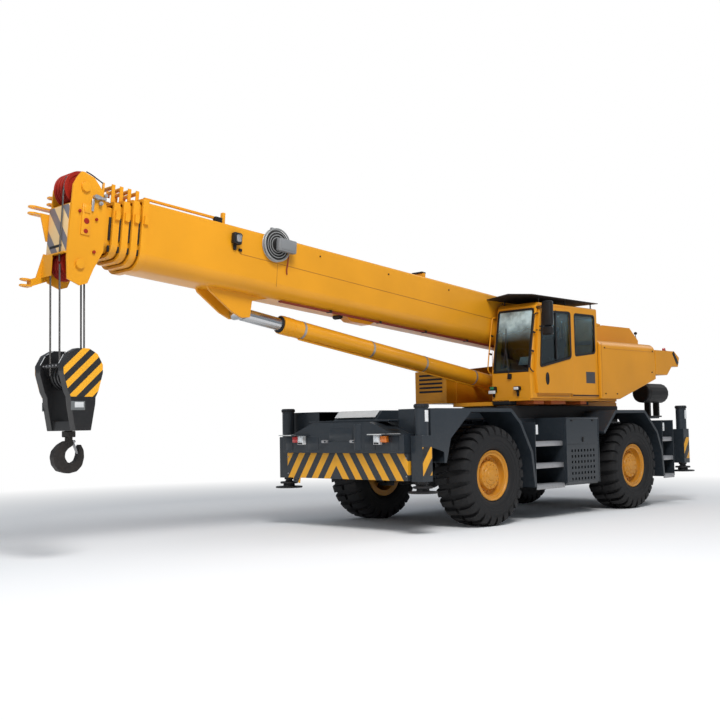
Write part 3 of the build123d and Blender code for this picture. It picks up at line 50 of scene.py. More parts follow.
# ---------------------------------------------------------------- studio
# A pale floor under even soft light, with one broad lamp high on the cab's side.
# The camera stands ahead of the cab's front corner, a little below a person's eye.
WHITE = (1.0, 1.0, 1.0, 1.0)
FLOOR_WHITE = (0.93, 0.93, 0.93, 1.0)
FLOOR_SIZE = 160.0
FLOOR_FADE = (8.0, 16.0)  # from the middle, where the floor passes into the white beyond


def add_node(tree, kind, settings=(), **sockets):
    """Adds a node, sets it, and fills or joins its sockets; in0, in1 name a socket by its number."""
    made = tree.nodes.new(kind)
    for key, value in settings:
        setattr(made, key, value)
    for name, value in sockets.items():
        numbered = name.startswith("in") and name[2:].isdigit()
        socket = made.inputs[int(name[2:]) if numbered else name.replace("_", " ")]
        if isinstance(value, bpy.types.NodeSocket):
            tree.links.new(value, socket)
        else:
            socket.default_value = value
    return made


def maths(tree, operation, *values):
    """Result of a sum, product or the like of numbers and outputs."""
    sockets = {"in" + str(k): value for k, value in enumerate(values)}
    return add_node(tree, "ShaderNodeMath", [("operation", operation)], **sockets).outputs[0]


def mapped(tree, value, from_low, from_high, to_low=0.0, to_high=1.0):
    """Value carried from one range to another."""
    ends = {"From_Min": from_low, "From_Max": from_high, "To_Min": to_low, "To_Max": to_high}
    return add_node(tree, "ShaderNodeMapRange", Value=value, **ends).outputs[0]


def object_place(tree):
    """Place of the shaded point in the shared frame."""
    return add_node(tree, "ShaderNodeTexCoord").outputs["Object"]


def share_of(tree, vector, letter):
    """One coordinate of a vector."""
    return add_node(tree, "ShaderNodeSeparateXYZ", Vector=vector).outputs[letter]


def noise(tree, place, scale, detail=2.0, rough=0.5):
    """Soft noise over a place."""
    look = {"Scale": scale, "Detail": detail, "Roughness": rough}
    return add_node(tree, "ShaderNodeTexNoise", Vector=place, **look).outputs[0]


def empty_material(name):
    """Material without nodes, and its tree."""
    material = bpy.data.materials.new(name)
    material.use_nodes = True
    material.node_tree.nodes.clear()
    return material, material.node_tree


def piece(name, bm, material, body=None, smooth=None):
    """Turns a bmesh into a piece of the model that rides on a body."""
    mesh = bpy.data.meshes.new(name)
    bm.to_mesh(mesh)
    bm.free()
    mesh.materials.append(material)
    if smooth is not None:
        mesh.shade_smooth()
        mesh.set_sharp_from_angle(angle=radians(smooth))
    obj = bpy.data.objects.new(name, mesh)
    scene.collection.objects.link(obj)
    if body:
        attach(obj, body)
    return obj


floor_paint, tree = empty_material("studio_floor")
reach = add_node(tree, "ShaderNodeVectorMath", [("operation", "LENGTH")], in0=object_place(tree))
matt = add_node(tree, "ShaderNodeBsdfDiffuse", Color=FLOOR_WHITE)
glow = add_node(tree, "ShaderNodeEmission", Color=WHITE)
faded = mapped(tree, reach.outputs["Value"], *FLOOR_FADE)
mix = add_node(tree, "ShaderNodeMixShader", in0=faded, in1=matt.outputs[0], in2=glow.outputs[0])
add_node(tree, "ShaderNodeOutputMaterial", Surface=mix.outputs[0])
bm = bmesh.new()
bmesh.ops.create_grid(bm, x_segments=1, y_segments=1, size=FLOOR_SIZE / 2)
piece("floor", bm, floor_paint)

world = bpy.data.worlds.new("studio")
scene.world = world
world.use_nodes = True
tree = world.node_tree
tree.nodes.clear()
seen = add_node(tree, "ShaderNodeLightPath").outputs
shown = maths(tree, "MAXIMUM", seen["Is Camera Ray"], seen["Is Transmission Ray"])
sky = add_node(tree, "ShaderNodeBackground", Color=(0.82, 0.9, 1.0, 1.0), Strength=0.33)
backdrop = add_node(tree, "ShaderNodeBackground", Color=WHITE, Strength=1.0)
mix = add_node(tree, "ShaderNodeMixShader", in0=shown, in1=sky.outputs[0], in2=backdrop.outputs[0])
add_node(tree, "ShaderNodeOutputWorld", Surface=mix.outputs[0])

LAMPS = (
    # name, where it hangs, what it points at, width, power
    ("key", (8.0, 10.0, 14.0), (-1.0, 0.0, 2.0), 6.0, 2150.0),
    ("front", (16.0, 1.0, 7.0), (0.0, 0.0, 2.0), 8.0, 330.0),
    ("rear", (-14.0, 4.0, 12.0), (-2.0, 0.0, 2.0), 9.0, 520.0),
)
for name, place, target, width, power in LAMPS:
    lamp = bpy.data.lights.new(name, "AREA")
    lamp.size = width
    lamp.energy = power
    holder = bpy.data.objects.new(name, lamp)
    holder.location = place
    holder.rotation_euler = (Vector(target) - Vector(place)).to_track_quat("-Z", "Y").to_euler()
    scene.collection.objects.link(holder)

CAMERA_AT = Vector((12.915, 11.63, 1.594))
YAW, PITCH, ROLL = radians(225.086), radians(3.816), radians(-1.0006)
LENS = 51.162
ahead = Vector((cos(PITCH) * cos(YAW), cos(PITCH) * sin(YAW), sin(PITCH)))
right = ahead.cross(Vector(UP)).normalized()
above = right.cross(ahead)
turn = Matrix.Rotation(ROLL, 3, -ahead)
right, above = turn @ right, turn @ above
camera = bpy.data.objects.new("camera", bpy.data.cameras.new("camera"))
camera.data.lens = LENS
camera.data.clip_end = 400.0
camera.matrix_world = Matrix.Translation(CAMERA_AT) @ Matrix((right, above, -ahead)).transposed().to_4x4()
scene.collection.objects.link(camera)
scene.camera = camera
scene.view_settings.view_transform = "Standard"


# ---------------------------------------------------------------- tyres
# Four wide off-road tyres of black rubber, with staggered lugs on both shoulders.
# The sidewall has moulded rings, and dried dust clings low down and between the lugs.
DUST = (0.21, 0.18, 0.145, 1.0)


def blend(tree, amount, first, second):
    """Mix of two colours, each an output or its red, green and blue."""
    pair = [value if isinstance(value, bpy.types.NodeSocket) else (*value, 1.0) for value in (first, second)]
    return add_node(
        tree, "ShaderNodeMix", [("data_type", "RGBA")], in0=amount, in6=pair[0], in7=pair[1]
    ).outputs[2]


def bumped(tree, height, strength, distance, **more):
    """Normal that follows a height."""
    return add_node(
        tree, "ShaderNodeBump", Strength=strength, Distance=distance, Height=height, **more
    ).outputs[0]


def surface(tree, **sockets):
    """Ends a material's tree with one shader."""
    shader = add_node(tree, "ShaderNodeBsdfPrincipled", **sockets)
    add_node(tree, "ShaderNodeOutputMaterial", Surface=shader.outputs["BSDF"])


weathering = bpy.data.node_groups.new("weathering", "ShaderNodeTree")
for way, name, kind in (
    ("INPUT", "Paint", "Color"),
    ("INPUT", "Dust", "Color"),
    ("INPUT", "Dust Amount", "Float"),
    ("INPUT", "Base Roughness", "Float"),
    ("INPUT", "Grain Scale", "Float"),
    ("INPUT", "Grain Depth", "Float"),
    ("OUTPUT", "Colour", "Color"),
    ("OUTPUT", "Roughness", "Float"),
    ("OUTPUT", "Normal", "Vector"),
):
    weathering.interface.new_socket(name=name, in_out=way, socket_type="NodeSocket" + kind)
tree = weathering
given = add_node(tree, "NodeGroupInput").outputs
place = object_place(tree)
tone = mapped(tree, noise(tree, place, 0.8, 5.0), 0.3, 0.7, 0.9, 1.06)
toned = add_node(tree, "ShaderNodeVectorMath", [("operation", "SCALE")], in0=given["Paint"], Scale=tone)
# dust lies low down and on what faces up, and is broken into patches and runs
faced = add_node(tree, "ShaderNodeNewGeometry").outputs["Normal"]
low_down = mapped(tree, share_of(tree, place, "Z"), 0.1, 2.0, 0.8, 0.1)
lying = mapped(tree, share_of(tree, faced, "Z"), 0.2, 0.95, 0.0, 0.8)
caught = maths(tree, "MAXIMUM", low_down, lying)
patchy = mapped(tree, noise(tree, place, 21.0, 5.0, 0.65), 0.38, 0.68)
long_way = add_node(tree, "ShaderNodeMapping", Vector=place, Scale=(7.0, 7.0, 0.5)).outputs[0]
streaky = mapped(tree, noise(tree, long_way, 1.6, 6.0, 0.6), 0.5, 0.72)
broken = maths(tree, "MAXIMUM", patchy, streaky)
dusty = maths(tree, "MULTIPLY", maths(tree, "MULTIPLY", caught, broken), given["Dust Amount"])
duller = maths(tree, "MULTIPLY_ADD", dusty, 0.35, given["Base Roughness"])
rippled = bumped(tree, noise(tree, place, 2.4, 1.0), 0.35, 0.004)
grain = noise(tree, place, given["Grain Scale"], 3.0)
add_node(
    tree,
    "NodeGroupOutput",
    Colour=blend(tree, dusty, toned.outputs[0], given["Dust"]),
    Roughness=maths(tree, "MULTIPLY_ADD", broken, 0.07, duller),
    Normal=bumped(tree, grain, 0.5, given["Grain Depth"], Normal=rippled),
)


def aged(tree, paint, rough, dust, grain, depth):
    """Sockets of a shader for a paint that has weathered."""
    node = add_node(
        tree,
        "ShaderNodeGroup",
        [("node_tree", weathering)],
        Paint=paint,
        Dust=DUST,
        Dust_Amount=dust,
        Base_Roughness=rough,
        Grain_Scale=grain,
        Grain_Depth=depth,
    ).outputs
    return {"Base_Color": node["Colour"], "Roughness": node["Roughness"], "Normal": node["Normal"]}


def weathered(name, colour, rough, dust=0.3, grain=150.0, depth=0.0006, coat=0.0, metal=0.0):
    """Painted, rubber or metal surface with tone, dust, streaks and a fine grain."""
    material, tree = empty_material(name)
    look = aged(tree, (*colour, 1.0), rough, dust, grain, depth)
    surface(tree, **look, Metallic=metal, Specular_IOR_Level=0.3, Coat_Weight=coat, Coat_Roughness=0.12)
    return material


def turned(bm, section, centre, axis=UP, steps=64, ring=False):
    """Adds a turned shape to bm from its section of (distance along the axis, radius)."""
    out = Vector(axis).normalized()
    away = out.orthogonal().normalized()
    verts = [bm.verts.new(Vector(centre) + out * along + away * radius) for along, radius in section]
    following = verts[1:] + verts[:1] if ring else verts[1:]
    edges = [bm.edges.new(pair) for pair in zip(verts, following)]
    bmesh.ops.spin(bm, geom=verts + edges, cent=centre, axis=out, angle=2 * pi, steps=steps, use_merge=True)
    bmesh.ops.remove_doubles(bm, verts=bm.verts, dist=1e-5)
    bmesh.ops.recalc_face_normals(bm, faces=bm.faces)


def placed(centre, out, up=UP):
    """Frame at centre whose Z points out and whose Y points up as nearly as it can."""
    z = Vector(out).normalized()
    x = Vector(up).cross(z).normalized()
    return Matrix.Translation(centre) @ Matrix((x, z.cross(x), z)).transposed().to_4x4()


def slab(bm, where, size, ease=0.0):
    """Adds a block with eased edges to bm, centred on the frame or point where."""
    frame_at = where if isinstance(where, Matrix) else Matrix.Translation(where)
    made = bmesh.ops.create_cube(bm, size=1.0)["verts"]
    bmesh.ops.scale(bm, vec=size, verts=made)
    if ease:
        edges = list({edge for vert in made for edge in vert.link_edges})
        eased_faces = bmesh.ops.bevel(
            bm, geom=edges, offset=ease, segments=2, profile=0.5, affect="EDGES", material=-1
        )
        made = list({vert for face in eased_faces["faces"] for vert in face.verts})
    bmesh.ops.transform(bm, matrix=frame_at, verts=made)


def bolt_ring(bm, centre, out, radius, count, size, height):
    """Adds hexagon bolt heads in a ring round the axis out."""
    whole = placed(centre, out)
    for k in range(count):
        angle = 2 * pi * k / count
        spot = whole @ Matrix.Translation((radius * cos(angle), radius * sin(angle), height / 2))
        bmesh.ops.create_cone(
            bm, cap_ends=True, segments=6, radius1=size, radius2=size * 0.9, depth=height, matrix=spot
        )


def bolt(bm, spot, out, size, height):
    """Adds one hexagon bolt head to bm."""
    bolt_ring(bm, spot, out, 0.0, 1, size, height)


def blocks(name, material, body, *rows, smooth=30):
    """Piece of eased blocks, each given by its frame or point, its size and its ease."""
    bm = bmesh.new()
    for where, size, ease in rows:
        slab(bm, where, size, ease)
    return piece(name, bm, material, body, smooth=smooth)


def spun(name, material, body, section, centre, axis=UP, steps=40, smooth=35, ring=False):
    """Piece of one turned shape."""
    bm = bmesh.new()
    turned(bm, section, centre, axis, steps=steps, ring=ring)
    return piece(name, bm, material, body, smooth=smooth)


WHEELS = ("front_left", "front_right", "rear_left", "rear_right")
TYRE_SECTION = (
    # from the tyre's middle outwards, radius
    (0.0, 0.755), (0.20, 0.752), (0.262, 0.735), (0.300, 0.700), (0.316, 0.660), (0.321, 0.600),
    (0.3205, 0.560), (0.316, 0.556), (0.317, 0.505), (0.312, 0.501), (0.306, 0.470), (0.292, 0.440),
    (0.274, 0.424), (0.262, 0.418), (0.246, 0.404), (0.235, 0.36),
)
LUG = (
    # of a lug on the shoulder, out from the tyre's middle, radius
    (0.030, 0.752), (0.030, 0.800), (0.150, 0.803), (0.235, 0.797), (0.292, 0.770), (0.318, 0.722),
    (0.324, 0.672), (0.322, 0.640), (0.300, 0.640), (0.240, 0.735),
)
LUGS, LUG_WIDE = 26, 0.118
LUG_REACH, LUG_TAPER, LUG_LEAN = 0.3, 0.28, 0.05
rubber = weathered("tyre_rubber", (0.0105, 0.0105, 0.0115), 0.62, dust=0.06, grain=60.0, depth=0.0012)
for wheel in WHEELS:
    low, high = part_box(wheel + "_tyre")
    centre = (low + high) / 2
    bm = bmesh.new()
    both = [(-out, radius) for out, radius in reversed(TYRE_SECTION)] + list(TYRE_SECTION[1:])
    turned(bm, both, centre, LEFT, steps=96, ring=True)
    for hand in (1, -1):
        for k in range(LUGS):
            angle = 2 * pi * (k + (0.5 if hand > 0 else 0.0)) / LUGS
            ring = [bm.verts.new((-LUG_WIDE / 2, hand * out, radius)) for out, radius in LUG]
            face = bm.faces.new(ring)
            pushed = bmesh.ops.extrude_face_region(bm, geom=[face])["geom"]
            far = [v for v in pushed if isinstance(v, bmesh.types.BMVert)]
            bmesh.ops.translate(bm, vec=(LUG_WIDE, 0, 0), verts=far)
            lug = ring + far
            # the lugs narrow towards the tread's middle and lean a little
            for vert in lug:
                inner = 1.0 - min(1.0, abs(vert.co.y) / LUG_REACH)
                vert.co.x *= 1.0 - LUG_TAPER * inner
                vert.co.x += hand * LUG_LEAN * inner
            spin = Matrix.Translation(centre) @ Matrix.Rotation(angle, 4, "Y")
            bmesh.ops.transform(bm, matrix=spin, verts=lug)
    bmesh.ops.recalc_face_normals(bm, faces=bm.faces)
    tyre = piece(wheel + "_tyre_rubber", bm, rubber, wheel + "_wheel", smooth=28)
    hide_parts(wheel + "_tyre")


# ---------------------------------------------------------------- rims
# Pressed-steel rims in the machine's yellow, dished behind a thick flange.
# A planetary hub with a ring of bolts fills the middle of each.
YELLOW = (0.70, 0.285, 0.009)
RIM_SECTION = (
    # from the rim's middle outwards, radius
    (-0.262, 0.402), (-0.240, 0.402), (-0.236, 0.326), (0.236, 0.326), (0.240, 0.402), (0.262, 0.402),
    (0.266, 0.390), (0.258, 0.376), (0.236, 0.366), (0.226, 0.338), (0.160, 0.322), (0.136, 0.312),
    (0.128, 0.292), (0.134, 0.262), (0.140, 0.232), (0.206, 0.222), (0.214, 0.214), (0.216, 0.150),
    (0.226, 0.142), (0.228, 0.085), (0.236, 0.078), (0.237, 0.0),
)
RIM_BACK = ((-0.262, 0.402), (-0.262, 0.308), (0.085, 0.30), (0.085, 0.0))
RIM_BOLTS = (
    # out from the rim's middle, radius of the ring, number, size, height
    (0.216, 0.182, 12, 0.013, 0.014),
    (0.134, 0.262, 20, 0.015, 0.024),
    (0.228, 0.112, 6, 0.010, 0.008),
)
rim_paint = weathered("rim_paint", (0.60, 0.25, 0.014), 0.42, dust=0.3, coat=0.1)
for wheel in WHEELS:
    low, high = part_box(wheel + "_tyre")
    centre = (low + high) / 2
    out = Vector((0, 1 if centre.y > 0 else -1, 0))
    bm = bmesh.new()
    turned(bm, RIM_SECTION, centre, out, steps=72)
    turned(bm, RIM_BACK, centre, out, steps=48)
    bmesh.ops.recalc_face_normals(bm, faces=bm.faces)
    rim = piece(wheel + "_rim_disc", bm, rim_paint, wheel + "_wheel", smooth=38)
    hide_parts(wheel + "_rim")
    bm = bmesh.new()
    for distance, radius, count, size, height in RIM_BOLTS:
        bolt_ring(bm, centre + out * distance, out, radius, count, size, height)
    piece(wheel + "_rim_bolts", bm, rim_paint, wheel + "_wheel")


# ---------------------------------------------------------------- axles, steering and frame
# Cast axle housings and forged knuckles hang under a welded frame of two deep rails.
# All of it is sprayed slate; the ring that the upperworks turn on is greased steel.
SLATE = (0.019, 0.026, 0.034)
slate_paint = weathered("slate_paint", SLATE, 0.34, dust=0.12, coat=0.25)
slate_low = weathered("slate_paint_low", SLATE, 0.45, dust=0.5)
greased = weathered("greased_steel", (0.09, 0.085, 0.08), 0.35, dust=0.3, metal=0.9)


def merged(node):
    """Copy of a solid's mesh with its points joined and its flat faces whole."""
    bm = bmesh.new()
    bm.from_mesh(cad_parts[node].data)
    bmesh.ops.remove_doubles(bm, verts=bm.verts, dist=2e-5)
    bmesh.ops.dissolve_limit(bm, angle_limit=radians(0.6), verts=bm.verts, edges=bm.edges)
    return bm


BEVEL = {"profile": 0.5, "clamp_overlap": True, "material": -1}


def rounded(bm, edges, width, segments):
    """Rounds some edges of bm."""
    bmesh.ops.bevel(bm, geom=edges, offset=width, segments=segments, affect="EDGES", **BEVEL)


def evened(made):
    """Shades the flat faces of a rounded piece evenly."""
    made.modifiers.new("even", "WEIGHTED_NORMAL").keep_sharp = True
    return made


def eased(node, width, material, body, smooth=32, segments=2):
    """Copies a solid, softens its edges and stands it in the solid's place."""
    bm = merged(node)
    sharp = [edge for edge in bm.edges if edge.is_manifold and edge.calc_face_angle() > radians(34)]
    rounded(bm, sharp, width, segments)
    made = evened(piece(node + "_dressed", bm, material, body, smooth=smooth))
    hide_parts(node)


def dress(node, material):
    """Gives a solid that stays as it is its finish."""
    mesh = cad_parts[node].data
    mesh.materials.clear()
    mesh.materials.append(material)


SLEW = (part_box("slewing_ring")[0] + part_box("slewing_ring")[1]).x / 2


def at(x, y, z):
    """Point x ahead of the slewing axis, y to the cab's side and z up."""
    return Vector((SLEW + x, y, z))


for node in [wheel + "_knuckle" for wheel in WHEELS] + ["front_tie_rod", "rear_tie_rod", "axle_housings"]:
    dress(node, slate_low)
dress("chassis_frame", slate_paint)
dress("slewing_ring", greased)
eased("engine_block", 0.01, slate_low, "chassis")


# ---------------------------------------------------------------- deck and nose
# Folded plate covers the front and rear of the carrier, with a raised deck along the middle.
# A pale plate closes the sloping front of the raised deck, and hatches are let in beside it.
NOSE_FACE = 4.12  # ahead of the slewing axis
LUG_AT = (0.32, 1.3925)  # of the rope lugs: to either side, height
eased("deck", 0.006, slate_paint, "chassis")
eased("nose_panel", 0.010, slate_paint, "chassis")
pale_plate = weathered("pale_plate", (0.60, 0.61, 0.61), 0.4, dust=0.25)
black_trim = weathered("black_trim", (0.008, 0.008, 0.009), 0.42, dust=0.12)
bright_steel = weathered("bright_steel", (0.42, 0.42, 0.43), 0.38, dust=0.3, grain=260.0, metal=0.7)
white_paint = weathered("white_plate", (0.74, 0.75, 0.75), 0.4, dust=0.15)
bm = bmesh.new()
slab(bm, placed(at(3.742, 0, 1.8145), (1, 0, 1)), (0.92, 0.145, 0.006), 0.002)
piece("deck_front_plate", bm, pale_plate, "chassis")

HATCHES = (
    # hatches and cover plates on the nose's face: middle, height, width, height
    (0.02, 1.50, 0.52, 0.20),
    (0.66, 1.36, 0.22, 0.20),
    (-0.62, 1.36, 0.26, 0.20),
    (1.18, 1.36, 0.16, 0.22),
    (-1.20, 1.36, 0.16, 0.22),
)
hatches = [(at(NOSE_FACE + 0.002, y, z), (0.008, wide, tall), 0.003) for y, z, wide, tall in HATCHES]
blocks("nose_hatches", slate_paint, "chassis", *hatches)
blocks(
    "nose_visors",
    pale_plate,
    "chassis",
    (at(NOSE_FACE + 0.052, 0.845, 1.4965), (0.104, 0.30, 0.016), 0.004),
    (at(NOSE_FACE + 0.016, 1.17, 1.5), (0.032, 0.26, 0.014), 0.004),
    (at(NOSE_FACE + 0.052, -1.205, 1.4965), (0.104, 0.31, 0.016), 0.004),
)
bm = bmesh.new()
for hand in (1, -1):
    eye = placed(at(NOSE_FACE + 0.045, hand * LUG_AT[0], LUG_AT[1]), UP, LEFT)
    bmesh.ops.create_cone(
        bm, cap_ends=True, segments=32, radius1=0.046, radius2=0.046, depth=0.032, matrix=eye
    )
    slab(bm, at(NOSE_FACE + 0.02, hand * LUG_AT[0], LUG_AT[1]), (0.044, 0.11, 0.05), 0.006)
piece("nose_rope_lugs", bm, bright_steel, "chassis", smooth=30)
# oval recesses on the sloping shoulders, made as shallow black plates: painted shade
OVAL_Y = 0.93
SHOULDER = ((0.64, 1.6897), (1.155, 1.5))  # upper and lower edge of the slope: to the side, height
(high_y, high_z), (low_y, low_z) = SHOULDER
bm = bmesh.new()
for hand in (1, -1):
    slope = Vector((0, hand * (high_z - low_z), low_y - high_y)).normalized()
    rise = (low_y - OVAL_Y) * (high_z - low_z) / (low_y - high_y)
    spot = at(3.93, hand * OVAL_Y, low_z + rise) + slope * 0.002
    where = placed(spot, slope, AHEAD)
    made = bmesh.ops.create_circle(bm, cap_ends=True, segments=32, radius=0.11, matrix=where)["verts"]
    bmesh.ops.scale(bm, vec=(1.0, 1.35, 1.0), space=Matrix.Translation(-spot), verts=made)
    faces = list({face for vert in made for face in vert.link_faces})
    bmesh.ops.inset_region(bm, faces=faces, thickness=0.018, depth=-0.004)
piece("nose_ovals", bm, black_trim, "chassis", smooth=40)


# ---------------------------------------------------------------- stripe boards
# Folded trays across both ends, painted yellow with slate chevrons that meet off the middle.
# A bolted flap carries one more stripe below the far front corner.
def striped(name, colour, dark, pitch, slope, across, share=0.5, middle=None, offset=0.0):
    """Warning stripes that lean along a slope; with a middle they turn into chevrons about it."""
    material, tree = empty_material(name)
    place = object_place(tree)
    level = share_of(tree, place, across)
    if middle is not None:
        level = maths(tree, "ABSOLUTE", maths(tree, "SUBTRACT", level, middle))
    leaning = maths(tree, "MULTIPLY_ADD", share_of(tree, place, "Z"), slope, level)
    cycle = maths(tree, "DIVIDE", maths(tree, "ADD", leaning, offset), pitch)
    band = maths(tree, "LESS_THAN", maths(tree, "FRACT", cycle), share)
    surface(tree, **aged(tree, blend(tree, band, dark, colour), 0.4, 0.25, 160.0, 0.0005))
    return material


STRIPE_YELLOW = (0.84, 0.39, 0.010)
BOARD_FRONT, BOARD_REAR = 4.041, -4.281
board_paint = striped("board_stripes", STRIPE_YELLOW, SLATE, 0.29, 0.70, "Y", middle=-0.18, offset=0.163)
eased("stripe_plate", 0.006, board_paint, "chassis")
bm = bmesh.new()
for y in (-1.33, 1.33):
    for z in (0.87, 1.14):
        bolt(bm, at(BOARD_FRONT, y, z), AHEAD, 0.012, 0.01)
        bolt(bm, at(BOARD_REAR, y, z), (-1, 0, 0), 0.012, 0.01)
piece("board_bolts", bm, bright_steel, "chassis")

flap_at = Matrix.Translation(at(4.030, -1.13, 0.80)) @ Matrix.Rotation(radians(-8), 4, "X")
blocks("stripe_flap", board_paint, "chassis", (flap_at, (0.012, 0.17, 0.15), 0.004))
# black discs on the flap paint the shade inside its holes
HOLE = ((0.0, 0.0), (0.0, 0.014), (0.003, 0.012), (0.003, 0.0))
bm = bmesh.new()
for y, z in ((0.035, 0.04), (0.035, -0.01), (-0.03, 0.02), (-0.03, -0.035)):
    turned(bm, HOLE, flap_at @ Vector((0.006, y, z)), AHEAD, steps=20)
piece("stripe_flap_holes", bm, black_trim, "chassis", smooth=30)


# ---------------------------------------------------------------- fenders
# Arched plate fenders stand over the wheels, with folded edges.
# The front ones run on forward as panels to the outrigger jacks.
eased("fenders", 0.006, slate_paint, "chassis")


# ---------------------------------------------------------------- steps
# Recessed steps on both sides: slate side plates, and ribbed treads of bare steel.
# A blank white plate is riveted beside each upper tread.
dress("steps", slate_paint)
STEPS = (
    # rear edge, front edge, side
    (0.19, 1.04, 1),
    (0.19, 1.04, -1),
    (-3.65, -3.21, 1),
    (-3.65, -3.21, -1),
)
TREADS = (
    # height of the tread's top, distance in from the outer face
    (0.59, 0.0),
    (0.94, 0.012),
    (1.31, 0.024),
)
STEP_SIDE = 1.510
bm = bmesh.new()
plates = bmesh.new()
for rear, front, hand in STEPS:
    for top, inset in TREADS:
        outer = STEP_SIDE - inset
        middle = (rear + front) / 2
        length = front - rear - 0.03
        # a folded channel with a ribbed top
        slab(bm, at(middle, hand * (outer - 0.006), top - 0.036), (length, 0.016, 0.078), 0.003)
        slab(bm, at(middle, hand * (outer - 0.10), top + 0.002), (length, 0.2, 0.006), 0.002)
        for rib in range(7):
            across = hand * (outer - 0.02 - 0.027 * rib)
            slab(bm, at(middle, across, top + 0.007), (length - 0.02, 0.009, 0.008), 0.002)
        for dot in (-1, 1):
            spot = at(middle + dot * (length / 2 - 0.05), hand * (outer + 0.002), top - 0.036)
            bolt(bm, spot, (0, hand, 0), 0.010, 0.007)
    slab(plates, at(front - 0.05, hand * 1.5135, 1.52), (0.06, 0.004, 0.16), 0.0015)
piece("step_treads", bm, bright_steel, "chassis", smooth=30)
piece("step_plates", plates, white_paint, "chassis", smooth=30)


# ---------------------------------------------------------------- side boxes
# Welded tool box with square air holes low on its face, and a fuel tank on the other side.
# Both have a lid edge, hinges and a lock of black steel.
dress("side_boxes", slate_paint)
BOX_SIDE = 1.552
edges, locks = [], []
for y in (BOX_SIDE, -BOX_SIDE):
    edges += [(at(x, y, 1.13), (0.024, 0.007, 1.14), 0.002) for x in (-0.836, 0.174)]
    edges.append((at(-0.331, y, 1.702), (1.034, 0.007, 0.03), 0.002))
    edges.append((at(-0.331, y, 1.250), (0.96, 0.005, 0.010), 0.002))
for hand in (1, -1):
    locks += [(at(x, hand * 1.557, 1.664), (0.07, 0.012, 0.028), 0.004) for x in (-0.66, 0.0)]
    locks.append((at(-0.33, hand * 1.558, 1.33), (0.045, 0.014, 0.085), 0.006))
blocks("side_box_frames", slate_paint, "chassis", *edges)
blocks("side_box_locks", black_trim, "chassis", *locks)
TANK_CAP = ((0.0, 0.0), (0.0, 0.07), (0.02, 0.078), (0.05, 0.078), (0.06, 0.06), (0.06, 0.0))
spun("tank_cap", black_trim, "chassis", TANK_CAP, at(-0.1, -1.30, 1.72))


# ---------------------------------------------------------------- silencer
# Round black silencer of rolled sheet, lying fore and aft on two feet on the rear deck.
# Two straps round the can hold it, and its ends are dished.
silencer_low, silencer_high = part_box("silencer")
R = 0.2
LENGTH = silencer_high.x - silencer_low.x
HALF_CAN = (
    # in from one end, radius
    (0.001, 0.0), (0.001, R * 0.86), (0.018, R * 0.985), (0.03, R), (0.1, R), (0.11, R + 0.003),
    (0.15, R + 0.003), (0.16, R),
)
far_half = [(LENGTH - along, radius) for along, radius in reversed(HALF_CAN[1:])]
far_half[-1] = (LENGTH, R * 0.86)
can = [(along, radius * 0.985) for along, radius in [*HALF_CAN, *far_half, (LENGTH, 0.0)]]
matt_black = weathered("matt_black", (0.010, 0.010, 0.011), 0.55, dust=0.2)
dress("silencer", matt_black)
middle = Vector((silencer_low.x, 0.7, silencer_high.z - R))
spun("silencer_can", matt_black, "chassis", can, middle, AHEAD, steps=56, smooth=30)


# ---------------------------------------------------------------- carrier lamps
# White lamp housings under the visors, orange and red lenses outboard, and tail lamps behind.
# Each lens is moulded with fine ribs and sits in a black frame.
def lens(name, colour):
    """Moulded lamp lens with fine upright ribs."""
    material, tree = empty_material(name)
    place = object_place(tree)
    ribs = add_node(
        tree, "ShaderNodeTexWave", [("bands_direction", "Y")], Vector=place, Scale=26.0, Distortion=0.0
    )
    tint = blend(tree, noise(tree, place, 9.0), [0.75 * part for part in colour], colour)
    normal = bumped(tree, ribs.outputs[1], 0.4, 0.002)
    surface(tree, Base_Color=tint, Normal=normal, Roughness=0.16, Coat_Weight=0.5)
    return material


clear_lens = lens("clear_lens", (0.72, 0.76, 0.78))
orange_lens = lens("orange_lens", (0.80, 0.20, 0.012))
red_lens = lens("red_lens", (0.50, 0.012, 0.010))
TAIL_FACE = -4.343
dress("carrier_lamps", white_paint)
bezels, clears, oranges, reds = bmesh.new(), bmesh.new(), bmesh.new(), bmesh.new()
for hand, outboard in ((1, oranges), (-1, reds)):
    slab(clears, at(NOSE_FACE + 0.074, hand * 0.86, 1.428), (0.012, 0.096, 0.092), 0.004)
    slab(bezels, at(NOSE_FACE + 0.072, hand * 0.86, 1.362), (0.006, 0.10, 0.022), 0.002)
    bolt(bezels, at(NOSE_FACE + 0.07, hand * 0.905, 1.475), AHEAD, 0.006, 0.012)
    slab(outboard, at(NOSE_FACE + 0.032, hand * 1.0, 1.425), (0.064, 0.126, 0.096), 0.007)
    slab(bezels, at(NOSE_FACE + 0.005, hand * 1.0, 1.425), (0.010, 0.136, 0.106), 0.002)
    for y, bag in ((0.80, reds), (0.90, oranges), (1.0, clears)):
        slab(bag, at(TAIL_FACE, hand * y, 1.11), (0.014, 0.088, 0.096), 0.004)
piece("lamp_bezels", bezels, black_trim, "chassis", smooth=30)
piece("lamp_clear_lenses", clears, clear_lens, "chassis", smooth=30)
piece("lamp_orange_lenses", oranges, orange_lens, "chassis", smooth=30)
piece("lamp_red_lenses", reds, red_lens, "chassis", smooth=30)


